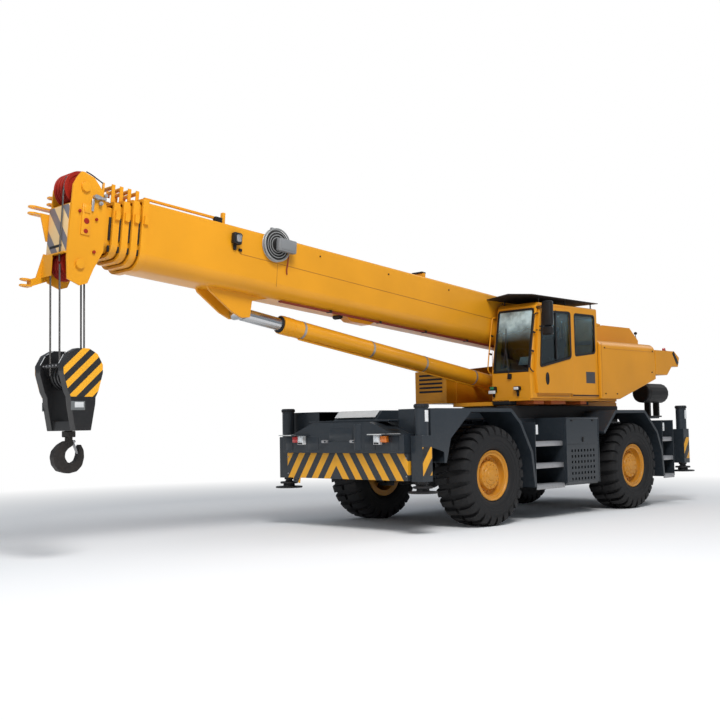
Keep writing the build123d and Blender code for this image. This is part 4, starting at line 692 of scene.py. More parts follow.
# ---------------------------------------------------------------- outriggers
# Box beams slide out of the carrier; each ends in a square case with a round jack tube.
# The jack stands on a dished round float, and the case has warning stripes outboard.
JACK = (
    # height, radius, from the float's underside to the top of the rod
    (0.620, 0.0), (0.620, 0.222), (0.626, 0.2245), (0.641, 0.2245), (0.645, 0.218), (0.650, 0.10),
    (0.690, 0.094), (0.691, 0.142), (0.696, 0.147), (0.719, 0.147), (0.724, 0.14), (0.726, 0.070),
    (0.745, 0.058), (0.757, 0.058), (0.760, 0.0775), (1.815, 0.0775), (1.815, 0.0),
)
CAP = (
    # down from the top of the jack's tube, radius
    (0.058, 0.101), (0.056, 0.115), (0.03, 0.1155), (0.012, 0.112), (0.004, 0.098), (0.001, 0.07),
    (0.001, 0.0),
)
case_paint = striped("case_stripes", STRIPE_YELLOW, (0.012, 0.013, 0.015), 0.30, 0.75, "X", offset=0.09)
jack_black = weathered("jack_black", (0.016, 0.016, 0.018), 0.38, dust=0.12)
for corner in WHEELS:
    tube_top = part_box(corner + "_outrigger_beam")[1].z
    jack_low, jack_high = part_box(corner + "_jack")
    foot = (jack_low + jack_high) / 2
    foot.z = 0.0
    hand = 1 if foot.y > 0 else -1
    beam = corner + "_beam"
    eased(corner + "_outrigger_beam", 0.005, slate_paint, beam, smooth=30)
    jack = spun(corner + "_jack_round", jack_black, corner + "_jack", JACK, foot, steps=48, smooth=30)
    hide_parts(corner + "_jack")
    bm = bmesh.new()
    turned(bm, [(tube_top - down, radius) for down, radius in CAP], foot, steps=40)
    bolt_ring(bm, foot + Vector((0, 0, tube_top - 0.012)), UP, 0.082, 8, 0.009, 0.010)
    piece(corner + "_jack_cap", bm, black_trim, beam, smooth=30)
    stripes = Vector((foot.x, hand * 1.6055, 1.09))
    blocks(corner + "_case_stripes", case_paint, beam, (stripes, (0.205, 0.004, 0.42), 0.0015))
    tag = placed(foot + Vector((0.0, hand * 0.102, 1.76)), (0, hand, 0))
    blocks(corner + "_jack_plate", white_paint, beam, (tag, (0.075, 0.17, 0.004), 0.0015))


# ---------------------------------------------------------------- turntable and housings
# The upperworks stand on a welded table with tall side plates, all in glossy yellow.
# Folded sheet housings with rounded upper edges close both sides behind the cab.
yellow_paint = weathered("yellow_paint", YELLOW, 0.34, dust=0.04, coat=0.1)
# a darker copy of the yellow paint: painted shade for the seams, folds and the cab's sill
yellow_painted_shade = weathered("yellow_paint_low", (0.52, 0.205, 0.012), 0.40, dust=0.25)
dark_red_orange = weathered("dark_red_orange", (0.42, 0.095, 0.015), 0.5, dust=0.3)
eased("turntable_frame", 0.006, yellow_paint, "turntable")
eased("left_housing", 0.014, yellow_paint, "turntable", segments=3)
eased("right_housing", 0.010, yellow_paint, "turntable")
eased("counterweight", 0.012, yellow_paint, "turntable")
NEAR_SIDE, FAR_SIDE = 1.351, -1.201  # a millimetre outside the two housings
# an upright joint of the sheets and a long fold on each side, in a darker yellow that is painted shade
seams = []
for y in (NEAR_SIDE, FAR_SIDE):
    seams.append((at(-1.36, y, 2.61), (0.012, 0.006, 1.0), 0.002))
    seams.append((at(-2.36, y, 3.005), (1.86, 0.005, 0.008), 0.002))
blocks("housing_seams", yellow_painted_shade, "turntable", *seams)
bm = bmesh.new()
for x, z in ((-1.46, 2.16), (-1.86, 2.16), (-3.18, 2.60), (-3.22, 3.02), (-1.46, 3.02)):
    bolt(bm, at(x, NEAR_SIDE, z), LEFT, 0.014, 0.012)
for x, z in ((-0.9, 2.2), (0.8, 2.2), (-1.2, 2.55), (0.8, 2.55)):
    bolt(bm, at(x, FAR_SIDE, z), (0, -1, 0), 0.014, 0.012)
piece("housing_bolts", bm, black_trim, "turntable")
slots = [(at(1.0, -0.82, 2.24 + 0.075 * k), (0.003, 0.56, 0.034), 0.0) for k in range(5)]
blocks("louvre_shadows", black_trim, "turntable", *slots, smooth=None)
# one black warning band down each raked end of the counterweight
bm = bmesh.new()
for hand in (1, -1):
    leaning = placed(at(-4.15, hand * 1.352, 2.915), (0, hand, 0), (0.62, 0, 0.78))
    slab(bm, leaning, (0.085, 0.30, 0.004), 0.0015)
piece("weight_bands", bm, black_trim, "turntable", smooth=30)
DOME = ((0.0, 0.034), (0.03, 0.034), (0.05, 0.027), (0.06, 0.0))
feet, domes = bmesh.new(), bmesh.new()
for y in (1.22, 0.95, -0.95, -1.22):
    slab(feet, at(-3.93, y, 3.062), (0.10, 0.07, 0.024), 0.006)
    turned(domes, DOME, at(-3.93, y, 3.07), steps=24)
piece("weight_lamp_feet", feet, black_trim, "turntable", smooth=30)
piece("weight_lamps", domes, red_lens, "turntable", smooth=40)
# the brackets under the cab's floor are a darker reddish orange
BRACKETS = ((0.45, 0.30), (-0.15, 0.45), (-0.95, 0.20))  # ahead of the slewing axis, length
brackets = [(at(x, 0.98, 2.0), (wide, 0.42, 0.08), 0.008) for x, wide in BRACKETS]
blocks("cab_brackets", dark_red_orange, "turntable", *brackets)
# black hose tray beside the slewing ring, on the table, and guards on the carrier below it
blocks("hose_tray", matt_black, "turntable", (at(-0.45, 0.62, 2.005), (2.5, 0.40, 0.09), 0.01))
guards = [(at(-0.80, y, 1.83), (3.6, 0.20, 0.22), 0.006) for y in (0.80, -0.80)]
blocks("ring_guard", matt_black, "chassis", *guards)


# ---------------------------------------------------------------- winches
# Two rope drums between the side plates, each wound with steel rope between flanges.
# A small black lamp stands on a stalk behind them.
def roped(name, wave, place_noise, dark, colour, depth, rough):
    """Steel rope: its strands in the bump; the colour darkens in the grooves between strands, painted shade,
    and in patches of grease.
    """
    material, tree = empty_material(name)
    place = object_place(tree)
    settings, sockets = wave
    lay = add_node(tree, "ShaderNodeTexWave", settings, Vector=place, **sockets).outputs[1]
    stain = noise(tree, place, place_noise, 4.0)
    tint = blend(tree, maths(tree, "MULTIPLY", lay, stain), dark, colour)
    surface(tree, Base_Color=tint, Normal=bumped(tree, lay, 0.9, depth), Metallic=0.6, Roughness=rough)
    return material


def wound(name, colour, turns_per_metre, across):
    """Rope laid side by side on a drum."""
    settings = [("bands_direction", across), ("wave_profile", "SIN")]
    wave = (settings, {"Scale": turns_per_metre, "Distortion": 0.4, "Detail": 1.0})
    return roped(name, wave, 14.0, (0.012, 0.011, 0.010), colour, 0.006, 0.45)


DRUMS = ((-3.56, 0.17), (-4.01, 0.15))  # ahead of the slewing axis, radius
DRUM_HALF = 0.299
drum_rope = wound("drum_rope", (0.16, 0.155, 0.15), 7.0, "Y")
dress("winches", drum_rope)
flanges, drums = bmesh.new(), bmesh.new()
for x, r in DRUMS:
    hub = at(x, 0, 3.3)
    turned(drums, ((-DRUM_HALF, r + 0.045), (DRUM_HALF, r + 0.045)), hub, LEFT, steps=56)
    flange = ((DRUM_HALF, r + 0.02), (DRUM_HALF, r + 0.066), (0.303, r + 0.07), (0.327, r + 0.07))
    flange += ((0.331, r + 0.066), (0.331, 0.06), (0.345, 0.055), (0.345, 0.0))
    for hand in (1, -1):
        turned(flanges, flange, hub, (0, hand, 0), steps=56)
        bolt_ring(flanges, hub + Vector((0, hand * 0.331, 0)), (0, hand, 0), 0.13, 8, 0.013, 0.012)
piece("winch_rope_layers", drums, drum_rope, "turntable", smooth=40)
piece("winch_flanges", flanges, matt_black, "turntable", smooth=30)
STALK = (
    # height, radius
    (0.0, 0.0), (0.0, 0.022), (0.008, 0.022), (0.009, 0.008), (0.075, 0.008), (0.08, 0.026),
    (0.095, 0.034), (0.115, 0.034), (0.13, 0.022), (0.135, 0.0),
)
spun("tail_lamp_stalk", black_trim, "turntable", STALK, at(-4.22, 0.42, 3.40), steps=28)


# ---------------------------------------------------------------- cab
# Pressed-steel cab in glossy yellow with rounded front corners and roof edges.
# Its panes sit in black rubber, and inside are a black seat, levers and a wheel.
CAB_SIDES = (1.299, 0.453)  # just inside the cab's outer faces
CAB_FRONT, CAB_ROOF = SLEW + 0.51, 3.66


def cab_corner(edge):
    """Whether the edge is one of the cab's long outer edges at its front corners or roof."""
    ends = [vert.co for vert in edge.verts]
    outer = all(co.y > CAB_SIDES[0] for co in ends) or all(co.y < CAB_SIDES[1] for co in ends)
    front = all(co.x > CAB_FRONT for co in ends)
    roof = all(co.z > CAB_ROOF for co in ends)
    return outer and (front or roof) and edge.calc_length() > 0.2


bm = merged("cab_shell")
rounded(bm, [edge for edge in bm.edges if edge.is_manifold and cab_corner(edge)], 0.05, 5)
cab = evened(piece("cab_shell_dressed", bm, yellow_paint, "turntable", smooth=34))
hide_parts("cab_shell")

glass, tree = empty_material("tinted_glass")
place = object_place(tree)
haze = noise(tree, place, 5.0, 4.0)
# a pale band across the top of the windscreen, faint on the other panes: a painted reflection of the sky
sky_reflection_height = mapped(tree, share_of(tree, place, "Z"), 3.05, 3.50)
screen = mapped(tree, share_of(tree, place, "X"), SLEW + 0.49, SLEW + 0.60, 0.15, 1.0)
band = maths(tree, "MULTIPLY", maths(tree, "MULTIPLY", sky_reflection_height, screen), haze)
surface(
    tree,
    Base_Color=blend(tree, band, (0.22, 0.33, 0.37), (0.80, 0.98, 1.0)),
    Roughness=mapped(tree, haze, 0.35, 0.7, 0.015, 0.07),
    Transmission_Weight=mapped(tree, band, 0.0, 0.5, 1.0, 0.15),
    IOR=1.12,
    Coat_Weight=0.8,
    Coat_Roughness=0.02,
)
dress("cab_glass", glass)
dress("door_glass", glass)


def framed(bm, face, width):
    """Sets a face in by a margin, and gives the margin's faces."""
    return bmesh.ops.inset_region(
        bm, faces=[face], thickness=width, use_even_offset=True, use_boundary=True
    )["faces"]


def gasket(bm, corners, out, width, thick, radius):
    """Adds a rubber frame with rounded corners along a window's outline."""
    before = set(bm.faces)
    ring = [bm.verts.new(corner) for corner in corners]
    bm.faces.new(ring)
    bmesh.ops.bevel(bm, geom=ring, offset=radius, segments=5, affect="VERTICES", **BEVEL)
    flat = max(set(bm.faces) - before, key=lambda face: face.calc_area())
    band = framed(bm, flat, width)
    bmesh.ops.delete(bm, geom=[flat], context="FACES_ONLY")
    pushed = bmesh.ops.extrude_face_region(bm, geom=band)["geom"]
    far = [item for item in pushed if isinstance(item, bmesh.types.BMVert)]
    bmesh.ops.translate(bm, vec=Vector(out) * thick, verts=far)


rubber_trim = weathered("rubber_trim", (0.009, 0.009, 0.010), 0.55, dust=0.05)
SIDE_WINDOW = ((-1.235, 2.895), (-0.545, 2.815), (-0.545, 3.615), (-1.235, 3.615))
FAR_WINDOW = ((-1.115, 2.885), (0.615, 2.585), (0.495, 3.615), (-1.115, 3.615))
DOOR_WINDOW = ((-0.357, 2.775), (0.617, 2.583), (0.525, 3.585), (-0.357, 3.617))
REAR_WINDOW = ((0.515, 3.068), (1.237, 3.068), (1.237, 3.592), (0.515, 3.592))
WINDSCREEN = ((0.485, 0), (1.267, 0), (1.267, 1.135), (0.485, 1.135))  # across, up its rake
SCREEN_FOOT = at(0.808, 0, 2.515)
RAKE = Vector((-0.1796, 0, 0.9837))
OUT_OF_SCREEN = Vector((0.9837, 0, 0.1796))


def on_screen(y, up, out=0.0):
    """Point on the windscreen: y across, up along its rake, out from it."""
    return SCREEN_FOOT + Vector((0, y, 0)) + RAKE * up + OUT_OF_SCREEN * out


bm = bmesh.new()
gasket(bm, [at(x, 1.292, z) for x, z in SIDE_WINDOW], LEFT, 0.034, 0.0084, 0.07)
gasket(bm, [at(x, 0.454, z) for x, z in FAR_WINDOW], (0, -1, 0), 0.034, 0.014, 0.07)
gasket(bm, [on_screen(y, up) for y, up in WINDSCREEN], OUT_OF_SCREEN, 0.036, 0.014, 0.06)
gasket(bm, [at(-1.301, y, z) for y, z in REAR_WINDOW], (-1, 0, 0), 0.03, 0.012, 0.05)
bmesh.ops.recalc_face_normals(bm, faces=bm.faces)
piece("cab_gaskets", bm, rubber_trim, "turntable", smooth=40)


def pipe(name, points, radius, material, body, sharp=False):
    """Round bar or fixed pipe along a smooth line through the points' polygon."""
    line = bpy.data.curves.new(name, "CURVE")
    line.dimensions = "3D"
    line.bevel_depth = radius
    line.bevel_resolution = 3
    line.resolution_u = 8
    line.use_fill_caps = True
    run = line.splines.new("POLY" if sharp else "NURBS")
    run.points.add(len(points) - 1)
    for spot, point in zip(run.points, points):
        spot.co = (*point, 1.0)
    if not sharp:
        run.use_endpoint_u = True
        run.order_u = 3
    line.materials.append(material)
    obj = bpy.data.objects.new(name, line)
    scene.collection.objects.link(obj)
    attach(obj, body)


# the wiper, its arm and the two grab rails stand on the front of the cab
ARM = [on_screen(*spot) for spot in ((0.86, -0.06, 0.03), (0.86, 0.0, 0.05), (0.74, 0.42, 0.03))]
BLADE = [on_screen(*spot) for spot in ((0.71, 0.08, 0.022), (0.745, 0.46, 0.022), (0.70, 0.80, 0.022))]
pipe("wiper_arm", ARM, 0.009, black_trim, "turntable")
pipe("wiper_blade", BLADE, 0.007, rubber_trim, "turntable")
motor = placed(on_screen(0.86, -0.07, 0.012), OUT_OF_SCREEN)
blocks("wiper_motor", black_trim, "turntable", (motor, (0.08, 0.09, 0.04), 0.012), smooth=35)
RAIL = ((0.0, -0.03), (0.02, 0.07), (0.12, 0.085), (0.9, 0.085), (1.02, 0.07), (1.04, -0.03))
for y, hand, paint in ((0.42, "right", yellow_paint), (1.325, "left", black_trim)):
    pipe("cab_rail_" + hand, [on_screen(y, up, out) for up, out in RAIL], 0.011, paint, "turntable")
    rail_feet = [
        (placed(on_screen(y, up, 0.05), OUT_OF_SCREEN), (0.03, 0.03, 0.08), 0.006) for up in (0.35, 0.68)
    ]
    blocks("cab_rail_feet_" + hand, black_trim, "turntable", *rail_feet, smooth=35)

# lamps and steps on the cab's front, and the plates and seams of its side
lamps = []
for y, tall in ((0.50, 0.10), (1.02, 0.07)):
    lamps.append((at(0.836, y, 2.235), (0.075, 0.13, tall), 0.016))
    lamps.append((at(0.815, y, 2.15), (0.05, 0.03, 0.10), 0.006))
blocks("cab_lamps", black_trim, "turntable", *lamps, smooth=35)
blocks(
    "cab_lamp_faces",
    white_paint,
    "turntable",
    (at(0.876, 0.50, 2.185), (0.006, 0.15, 0.055), 0.003),
    (at(0.876, 1.02, 2.235), (0.010, 0.10, 0.045), 0.006),
    smooth=35,
)
green_lens = lens("green_lens", (0.01, 0.22, 0.07))
green_at = at(0.876, 0.50, 2.255)
blocks("cab_lamp_green", green_lens, "turntable", (green_at, (0.012, 0.075, 0.05), 0.008), smooth=35)
plate_grey = weathered("plate_grey", (0.055, 0.055, 0.062), 0.4, dust=0.1)
blocks("cab_plate", plate_grey, "turntable", (at(-1.045, 1.2972, 2.45), (0.30, 0.0064, 0.21), 0.0))
# the sill strips take the darker yellow, painted shade along the foot of the cab's side
blocks(
    "cab_sill",
    yellow_painted_shade,
    "turntable",
    (at(-0.85, 1.306, 2.112), (0.90, 0.012, 0.054), 0.005),
    (at(0.16, 1.304, 2.10), (0.98, 0.010, 0.03), 0.004),
)
blocks(
    "cab_slots",
    rubber_trim,
    "turntable",
    (at(-0.86, 1.3125, 2.117), (0.86, 0.004, 0.022), 0.0015),
    (at(-1.308, 1.285, 2.6), (0.008, 0.03, 1.02), 0.002),
    (at(-0.40, 1.2974, 2.88), (0.010, 0.006, 1.48), 0.0),
)

eased("cab_door", 0.006, yellow_paint, "cab_door")
bm = bmesh.new()
gasket(bm, [at(x, 1.348, z) for x, z in DOOR_WINDOW], LEFT, 0.036, 0.012, 0.07)
bmesh.ops.recalc_face_normals(bm, faces=bm.faces)
piece("door_gasket", bm, rubber_trim, "cab_door", smooth=40)
blocks("door_mullion", rubber_trim, "cab_door", (at(0.10, 1.345, 3.18), (0.034, 0.02, 0.86), 0.005))
HANDLE = ((0.0, 0.0), (0.0, 0.052), (0.008, 0.052), (0.010, 0.046), (0.004, 0.038), (0.003, 0.0))
bm = bmesh.new()
turned(bm, HANDLE, Vector((0, 0, 0)), steps=40)
bmesh.ops.scale(bm, vec=(1.0, 2.1, 1.0), verts=bm.verts)
bmesh.ops.transform(bm, matrix=placed(at(0.40, 1.349, 2.40), LEFT), verts=bm.verts)
piece("door_handle", bm, black_trim, "cab_door", smooth=50)

vinyl = weathered("black_vinyl", (0.016, 0.016, 0.018), 0.5, dust=0.05, grain=90.0, depth=0.002)
eased("operator_station", 0.03, vinyl, "turntable", smooth=50, segments=4)
bm = bmesh.new()
wheel_at = Matrix.Translation(at(0.44, 0.89, 2.86)) @ Matrix.Rotation(radians(-28), 4, "Y")
rim_at = Matrix.Translation((0.175, 0, 0)) @ Matrix.Rotation(pi / 2, 4, "X")
ring = bmesh.ops.create_circle(bm, segments=10, radius=0.013, matrix=rim_at)["verts"]
edges = list({edge for vert in ring for edge in vert.link_edges})
bmesh.ops.spin(bm, geom=ring + edges, cent=(0, 0, 0), axis=UP, angle=2 * pi, steps=40, use_merge=True)
slab(bm, (0, 0, -0.01), (0.34, 0.03, 0.012), 0.004)
slab(bm, (0, 0, -0.02), (0.07, 0.07, 0.04), 0.012)
slab(bm, (0, 0, -0.13), (0.04, 0.04, 0.24), 0.01)
bmesh.ops.transform(bm, matrix=wheel_at, verts=bm.verts)
bmesh.ops.recalc_face_normals(bm, faces=bm.faces)
piece("steering_wheel", bm, vinyl, "turntable", smooth=45)
LEVER = ((0.0, 0.012), (0.12, 0.009), (0.13, 0.022), (0.17, 0.027), (0.20, 0.02), (0.208, 0.0))
bm = bmesh.new()
for y in (1.24, 0.56):
    for x in (0.16, 0.05):
        turned(bm, LEVER, at(x, y, 2.585), (0.12, 0, 1), steps=20)
slab(bm, at(0.62, 0.66, 2.86), (0.04, 0.24, 0.20), 0.012)
piece("cab_levers", bm, black_trim, "turntable", smooth=40)
blocks("seat_headrest", vinyl, "turntable", (at(-0.435, 0.89, 3.27), (0.11, 0.30, 0.22), 0.045), smooth=50)
papers = placed(at(0.60, 1.02, 2.72), (1, 0, 0.5))
blocks("cab_papers", white_paint, "turntable", (papers, (0.22, 0.16, 0.004), 0.001))

# a thin dark shade stands over the roof on short posts, with its front drawn to a point
SHADE = (
    # corners of the sheet, the fourth at its point
    (-1.28, 0.36, 3.822), (-1.28, 1.36, 3.822), (0.80, 1.36, 3.835), (0.98, 0.98, 3.862), (0.80, 0.36, 3.835),
)
POST = ((0.0, 0.0), (0.0, 0.03), (0.006, 0.03), (0.007, 0.012), (0.095, 0.012), (0.095, 0.0))
shade = weathered("sunshade_black", (0.020, 0.020, 0.021), 0.5, dust=0.15)
bm = bmesh.new()
face = bm.faces.new([bm.verts.new(at(*corner)) for corner in SHADE])
bmesh.ops.poke(bm, faces=[face], offset=0.028)
bmesh.ops.recalc_face_normals(bm, faces=bm.faces)
top = piece("sunshade_sheet", bm, shade, "turntable")
wall = top.modifiers.new("wall", "SOLIDIFY")
wall.thickness = 0.012
wall.offset = 1.0
soften = top.modifiers.new("soften", "BEVEL")
soften.width, soften.segments = 0.003, 2
bm = bmesh.new()
for x in (-1.2, -0.35, 0.45):
    for y in (0.512, 1.24):
        turned(bm, POST, at(x, y, 3.733), steps=20)
posts = piece("sunshade_posts", bm, black_trim, "turntable", smooth=35)
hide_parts("sunshade")

# tall mirror over a small wide-angle one, on a bent bar from the corner post
mirror = blocks(
    "mirror_housings",
    black_trim,
    "turntable",
    (at(0.56, 1.50, 3.515), (0.10, 0.20, 0.44), 0.035),
    (at(0.56, 1.50, 3.215), (0.09, 0.19, 0.15), 0.03),
    (at(0.59, 1.37, 3.62), (0.02, 0.12, 0.02), 0.004),
    (at(0.59, 1.37, 3.30), (0.02, 0.12, 0.02), 0.004),
    smooth=45,
)
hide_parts("mirrors")
silvered = weathered("mirror_glass", (0.85, 0.87, 0.88), 0.04, dust=0.05, depth=0.0, metal=1.0)
blocks(
    "mirror_faces",
    silvered,
    "turntable",
    (at(0.508, 1.50, 3.515), (0.006, 0.165, 0.40), 0.002),
    (at(0.513, 1.50, 3.215), (0.006, 0.155, 0.12), 0.002),
)
BAR = (
    # from the corner post, down behind both mirrors and back to it
    (0.60, 1.30, 3.64), (0.59, 1.40, 3.66), (0.58, 1.46, 3.62),
    (0.58, 1.46, 3.26), (0.59, 1.40, 3.22), (0.62, 1.30, 3.24),
)
pipe("mirror_bar", [at(*spot) for spot in BAR], 0.011, black_trim, "turntable")


# ---------------------------------------------------------------- boom
# Five telescopic box sections in glossy yellow, each with a collar at its front.
# The base carries a work lamp, a cable reel, fixed pipes and the stays for the jib.
LIFT = radians(5)
PIVOT = at(-2.5, 0, 3.15)
ALONG = Vector((cos(LIFT), 0, sin(LIFT)))
ABOVE = Vector((-sin(LIFT), 0, cos(LIFT)))
boom_paint = weathered("boom_paint", (0.72, 0.305, 0.012), 0.30, dust=0.02, coat=0.12)
eased("boom_base", 0.010, boom_paint, "boom_base")
for k in range(2, 6):
    eased("boom_section_" + str(k), 0.008, boom_paint, "boom_section_" + str(k))


def on_boom(s, y, up):
    """Point s along the boom from its pivot, y across and up from its centre line."""
    return PIVOT + ALONG * s + Vector((0, y, 0)) + ABOVE * up


def boom_frame(s, y, up):
    """Matrix at a boom point: X along it, Y across, Z up."""
    matrix = Matrix.Rotation(-LIFT, 4, "Y")
    matrix.translation = on_boom(s, y, up)
    return matrix


def boom_blocks(name, material, body, *rows, smooth=30):
    """Piece of eased blocks, each given by its boom point, its size and its ease."""
    blocks(name, material, body, *[(boom_frame(*spot), *rest) for spot, *rest in rows], smooth=smooth)


# welded laps of the side plates; the long one follows the taper of the base. Their darker colour is painted
# shade along the laps and grooves
BASE_SIDE = 0.381
bm = bmesh.new()
for y in (BASE_SIDE, -BASE_SIDE):
    slab(bm, boom_frame(5.5, y, 0.105) @ Matrix.Rotation(-0.0104, 4, "Y"), (6.8, 0.004, 0.010), 0.0015)
    slab(bm, boom_frame(8.90, y, 0.165), (0.010, 0.004, 0.06), 0.0015)
    slab(bm, boom_frame(8.22, y, -0.04), (0.008, 0.004, 0.34), 0.0015)
piece("boom_seams", bm, weathered("boom_seam", (0.40, 0.165, 0.014), 0.45, dust=0.2), "boom_base", smooth=30)
bm = bmesh.new()
for k in range(6):
    for hand in (1, -1):
        bolt(bm, on_boom(1.4 + 1.5 * k, hand * BASE_SIDE, 0.40), (0, hand, 0), 0.014, 0.010)
slab(bm, boom_frame(8.92, 0.392, 0.19), (0.05, 0.03, 0.04), 0.006)
slab(bm, boom_frame(9.21, 0.21, 0.585), (0.12, 0.07, 0.085), 0.008)
slab(bm, boom_frame(4.76, 0.0, 0.668), (0.10, 0.24, 0.03), 0.006)
piece("boom_fittings", bm, black_trim, "boom_base", smooth=30)
boom_blocks("bar_post", boom_paint, "boom_base", ((9.10, 0.18, 0.62), (0.05, 0.06, 0.20), 0.008))
# work lamp in a dark housing on the near side
boom_blocks(
    "work_lamp",
    black_trim,
    "boom_base",
    ((9.02, 0.43, 0.33), (0.15, 0.09, 0.17), 0.03),
    ((9.02, 0.395, 0.22), (0.05, 0.03, 0.09), 0.008),
    smooth=40,
)
glass_row = ((9.02, 0.476, 0.33), (0.078, 0.012, 0.105), 0.02)
boom_blocks("work_lamp_glass", bright_steel, "boom_base", glass_row, smooth=40)

# spring-wound cable reel: silver flanges, dark cable between, a junction box in front
REEL = on_boom(8.29, 0.382, 0.385)
REEL_BACK = (
    # out from the boom's side, radius
    (0.0, 0.235), (0.010, 0.245), (0.014, 0.245), (0.018, 0.238), (0.018, 0.215), (0.026, 0.21), (0.026, 0.0),
)
REEL_FRONT = ((0.060, 0.222), (0.060, 0.240), (0.068, 0.245), (0.074, 0.240), (0.074, 0.226), (0.068, 0.222))
REEL_CORE = ((0.026, 0.215), (0.058, 0.215), (0.060, 0.205), (0.060, 0.0))
reel_steel = weathered("reel_steel", (0.46, 0.46, 0.45), 0.35, dust=0.1, metal=0.7)
bm = bmesh.new()
turned(bm, REEL_BACK, REEL, LEFT)
for radius in (0.178, 0.138, 0.10):
    coil = [(0.060, radius), (0.060, radius + 0.012), (0.066, radius + 0.012), (0.066, radius)]
    turned(bm, coil, REEL, LEFT, ring=True)
turned(bm, REEL_FRONT, REEL, LEFT, ring=True)
piece("reel_flanges", bm, reel_steel, "boom_base", smooth=40)
reel_wound = wound("reel_wound", (0.05, 0.048, 0.045), 12.0, "X")
spun("reel_cable", reel_wound, "boom_base", REEL_CORE, REEL, LEFT, steps=64, smooth=40)
boom_blocks(
    "reel_box",
    weathered("box_grey", (0.20, 0.205, 0.21), 0.4, dust=0.15),
    "boom_base",
    ((8.17, 0.50, 0.385), (0.33, 0.09, 0.19), 0.02),
    ((8.17, 0.548, 0.385), (0.26, 0.006, 0.13), 0.002),
    ((8.40, 0.43, 0.60), (0.05, 0.04, 0.04), 0.008),
    smooth=35,
)
oxide = weathered("oxide_pipe", (0.22, 0.030, 0.012), 0.45, dust=0.2)
LEAD = ((8.07, 0.44, 0.27), (8.05, 0.41, 0.16), (8.06, 0.395, 0.06), (8.04, 0.39, 0.0))
pipe("reel_lead", [on_boom(*spot) for spot in LEAD], 0.011, oxide, "boom_base")
# hydraulic pipes under the belly, in clips
BELLY = -0.372
for k, y in enumerate((0.19, 0.235)):
    run = [on_boom(s, y, BELLY) for s in (8.0, 5.0, 2.2)]
    pipe("belly_pipe_" + str(k + 1), run, 0.013, oxide, "boom_base", sharp=True)
ROLLER = ((-0.088, 0.0), (-0.088, 0.03), (-0.06, 0.04), (0.06, 0.04), (0.088, 0.03), (0.088, 0.0))
bm = bmesh.new()
for k in range(5):
    slab(bm, boom_frame(2.6 + 1.1 * k, 0.2125, BELLY), (0.04, 0.10, 0.036), 0.006)
turned(bm, ROLLER, on_boom(6.62, 0, -0.375), LEFT, steps=28)
piece("belly_clips", bm, black_trim, "boom_base", smooth=35)

# black slide pads on the sides of the collars
for k in range(2, 6):
    front = 10.54 + 0.12 * (k - 1)
    half = 0.38 - 0.036 * (k - 1)
    pads = []
    for hand in (1, -1):
        for up, tall in ((0.09, 0.30), (-0.17, 0.08)):
            pads.append((boom_frame(front - 0.105, hand * (half + 0.010), up), (0.024, 0.030, tall), 0.004))
    blocks("collar_pads_" + str(k), matt_black, "boom_section_" + str(k), *pads)


# ---------------------------------------------------------------- boom head
# Two yellow side plates carry the red rope sheaves above and below.
# A striped panel closes the front, and a rope socket ends the hoist rope.
eased("boom_head", 0.010, boom_paint, "boom_section_5", segments=3)
sheave_red = weathered("sheave_red", (0.30, 0.016, 0.008), 0.34, dust=0.06)


def sheave(bm, centre, radius, half, bore):
    """Adds a spun rope sheave with a round groove, a dished web and a hub, on the Y axis."""
    groove = []
    for k in range(9):
        turn = pi * k / 8
        groove.append((-cos(turn) * half * 0.60, radius - half * 0.15 - sin(turn) * half * 0.95))
    rim = [(-half, bore), (-half, bore + 0.030), (-half * 0.35, bore + 0.036), (-half * 0.35, radius - 0.062)]
    rim += [(-half * 0.85, radius - 0.048), (-half * 0.90, radius - 0.004), (-half * 0.78, radius)]
    turned(bm, rim + groove + [(-out, r) for out, r in reversed(rim)], centre, LEFT, ring=True)


ROWS = (-0.117, -0.039, 0.039, 0.117)  # of the sheaves, across
PIN_S, LOWER_PIN, UPPER_PIN = 11.3, -0.446, 0.54  # of the head, along the boom and up
bm = bmesh.new()
for y in ROWS:
    sheave(bm, on_boom(PIN_S, y, LOWER_PIN), 0.179, 0.023, 0.045)
    sheave(bm, on_boom(PIN_S, y, UPPER_PIN), 0.225, 0.023, 0.045)
sheaves = piece("head_sheaves_dressed", bm, sheave_red, "boom_section_5", smooth=35)
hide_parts("head_sheaves")
PIN = ((-0.262, 0.0), (-0.262, 0.042), (-0.258, 0.045), (0.258, 0.045), (0.262, 0.042), (0.262, 0.0))
PIN_CAP = ((0.282, 0.0), (0.282, 0.058), (0.286, 0.062), (0.294, 0.060), (0.296, 0.050), (0.296, 0.0))
bm = bmesh.new()
for up in (LOWER_PIN, UPPER_PIN):
    turned(bm, PIN, on_boom(PIN_S, 0, up), LEFT, steps=40)
    for hand in (1, -1):
        turned(bm, PIN_CAP, on_boom(PIN_S, 0, up), (0, hand, 0), steps=40)
piece("head_pins", bm, boom_paint, "boom_section_5", smooth=35)
HEAD_BOLTS = (
    # along the boom, up, radius
    (11.26, 0.11, 0.038),
    (11.26, -0.02, 0.030),
    (11.12, -0.26, 0.022),
    (11.36, 0.22, 0.020),
    (11.12, 0.16, 0.020),
)
bm = bmesh.new()
for s, up, r in HEAD_BOLTS:
    button = ((0.0, 0.0), (0.0, r), (0.014, r), (0.02, r * 0.8), (0.02, 0.0))
    turned(bm, button, on_boom(s, 0.268, up), LEFT, steps=28)
    turned(bm, button, on_boom(s, -0.260, up), (0, -1, 0), steps=28)
piece("head_bolts", bm, sheave_red, "boom_section_5", smooth=35)
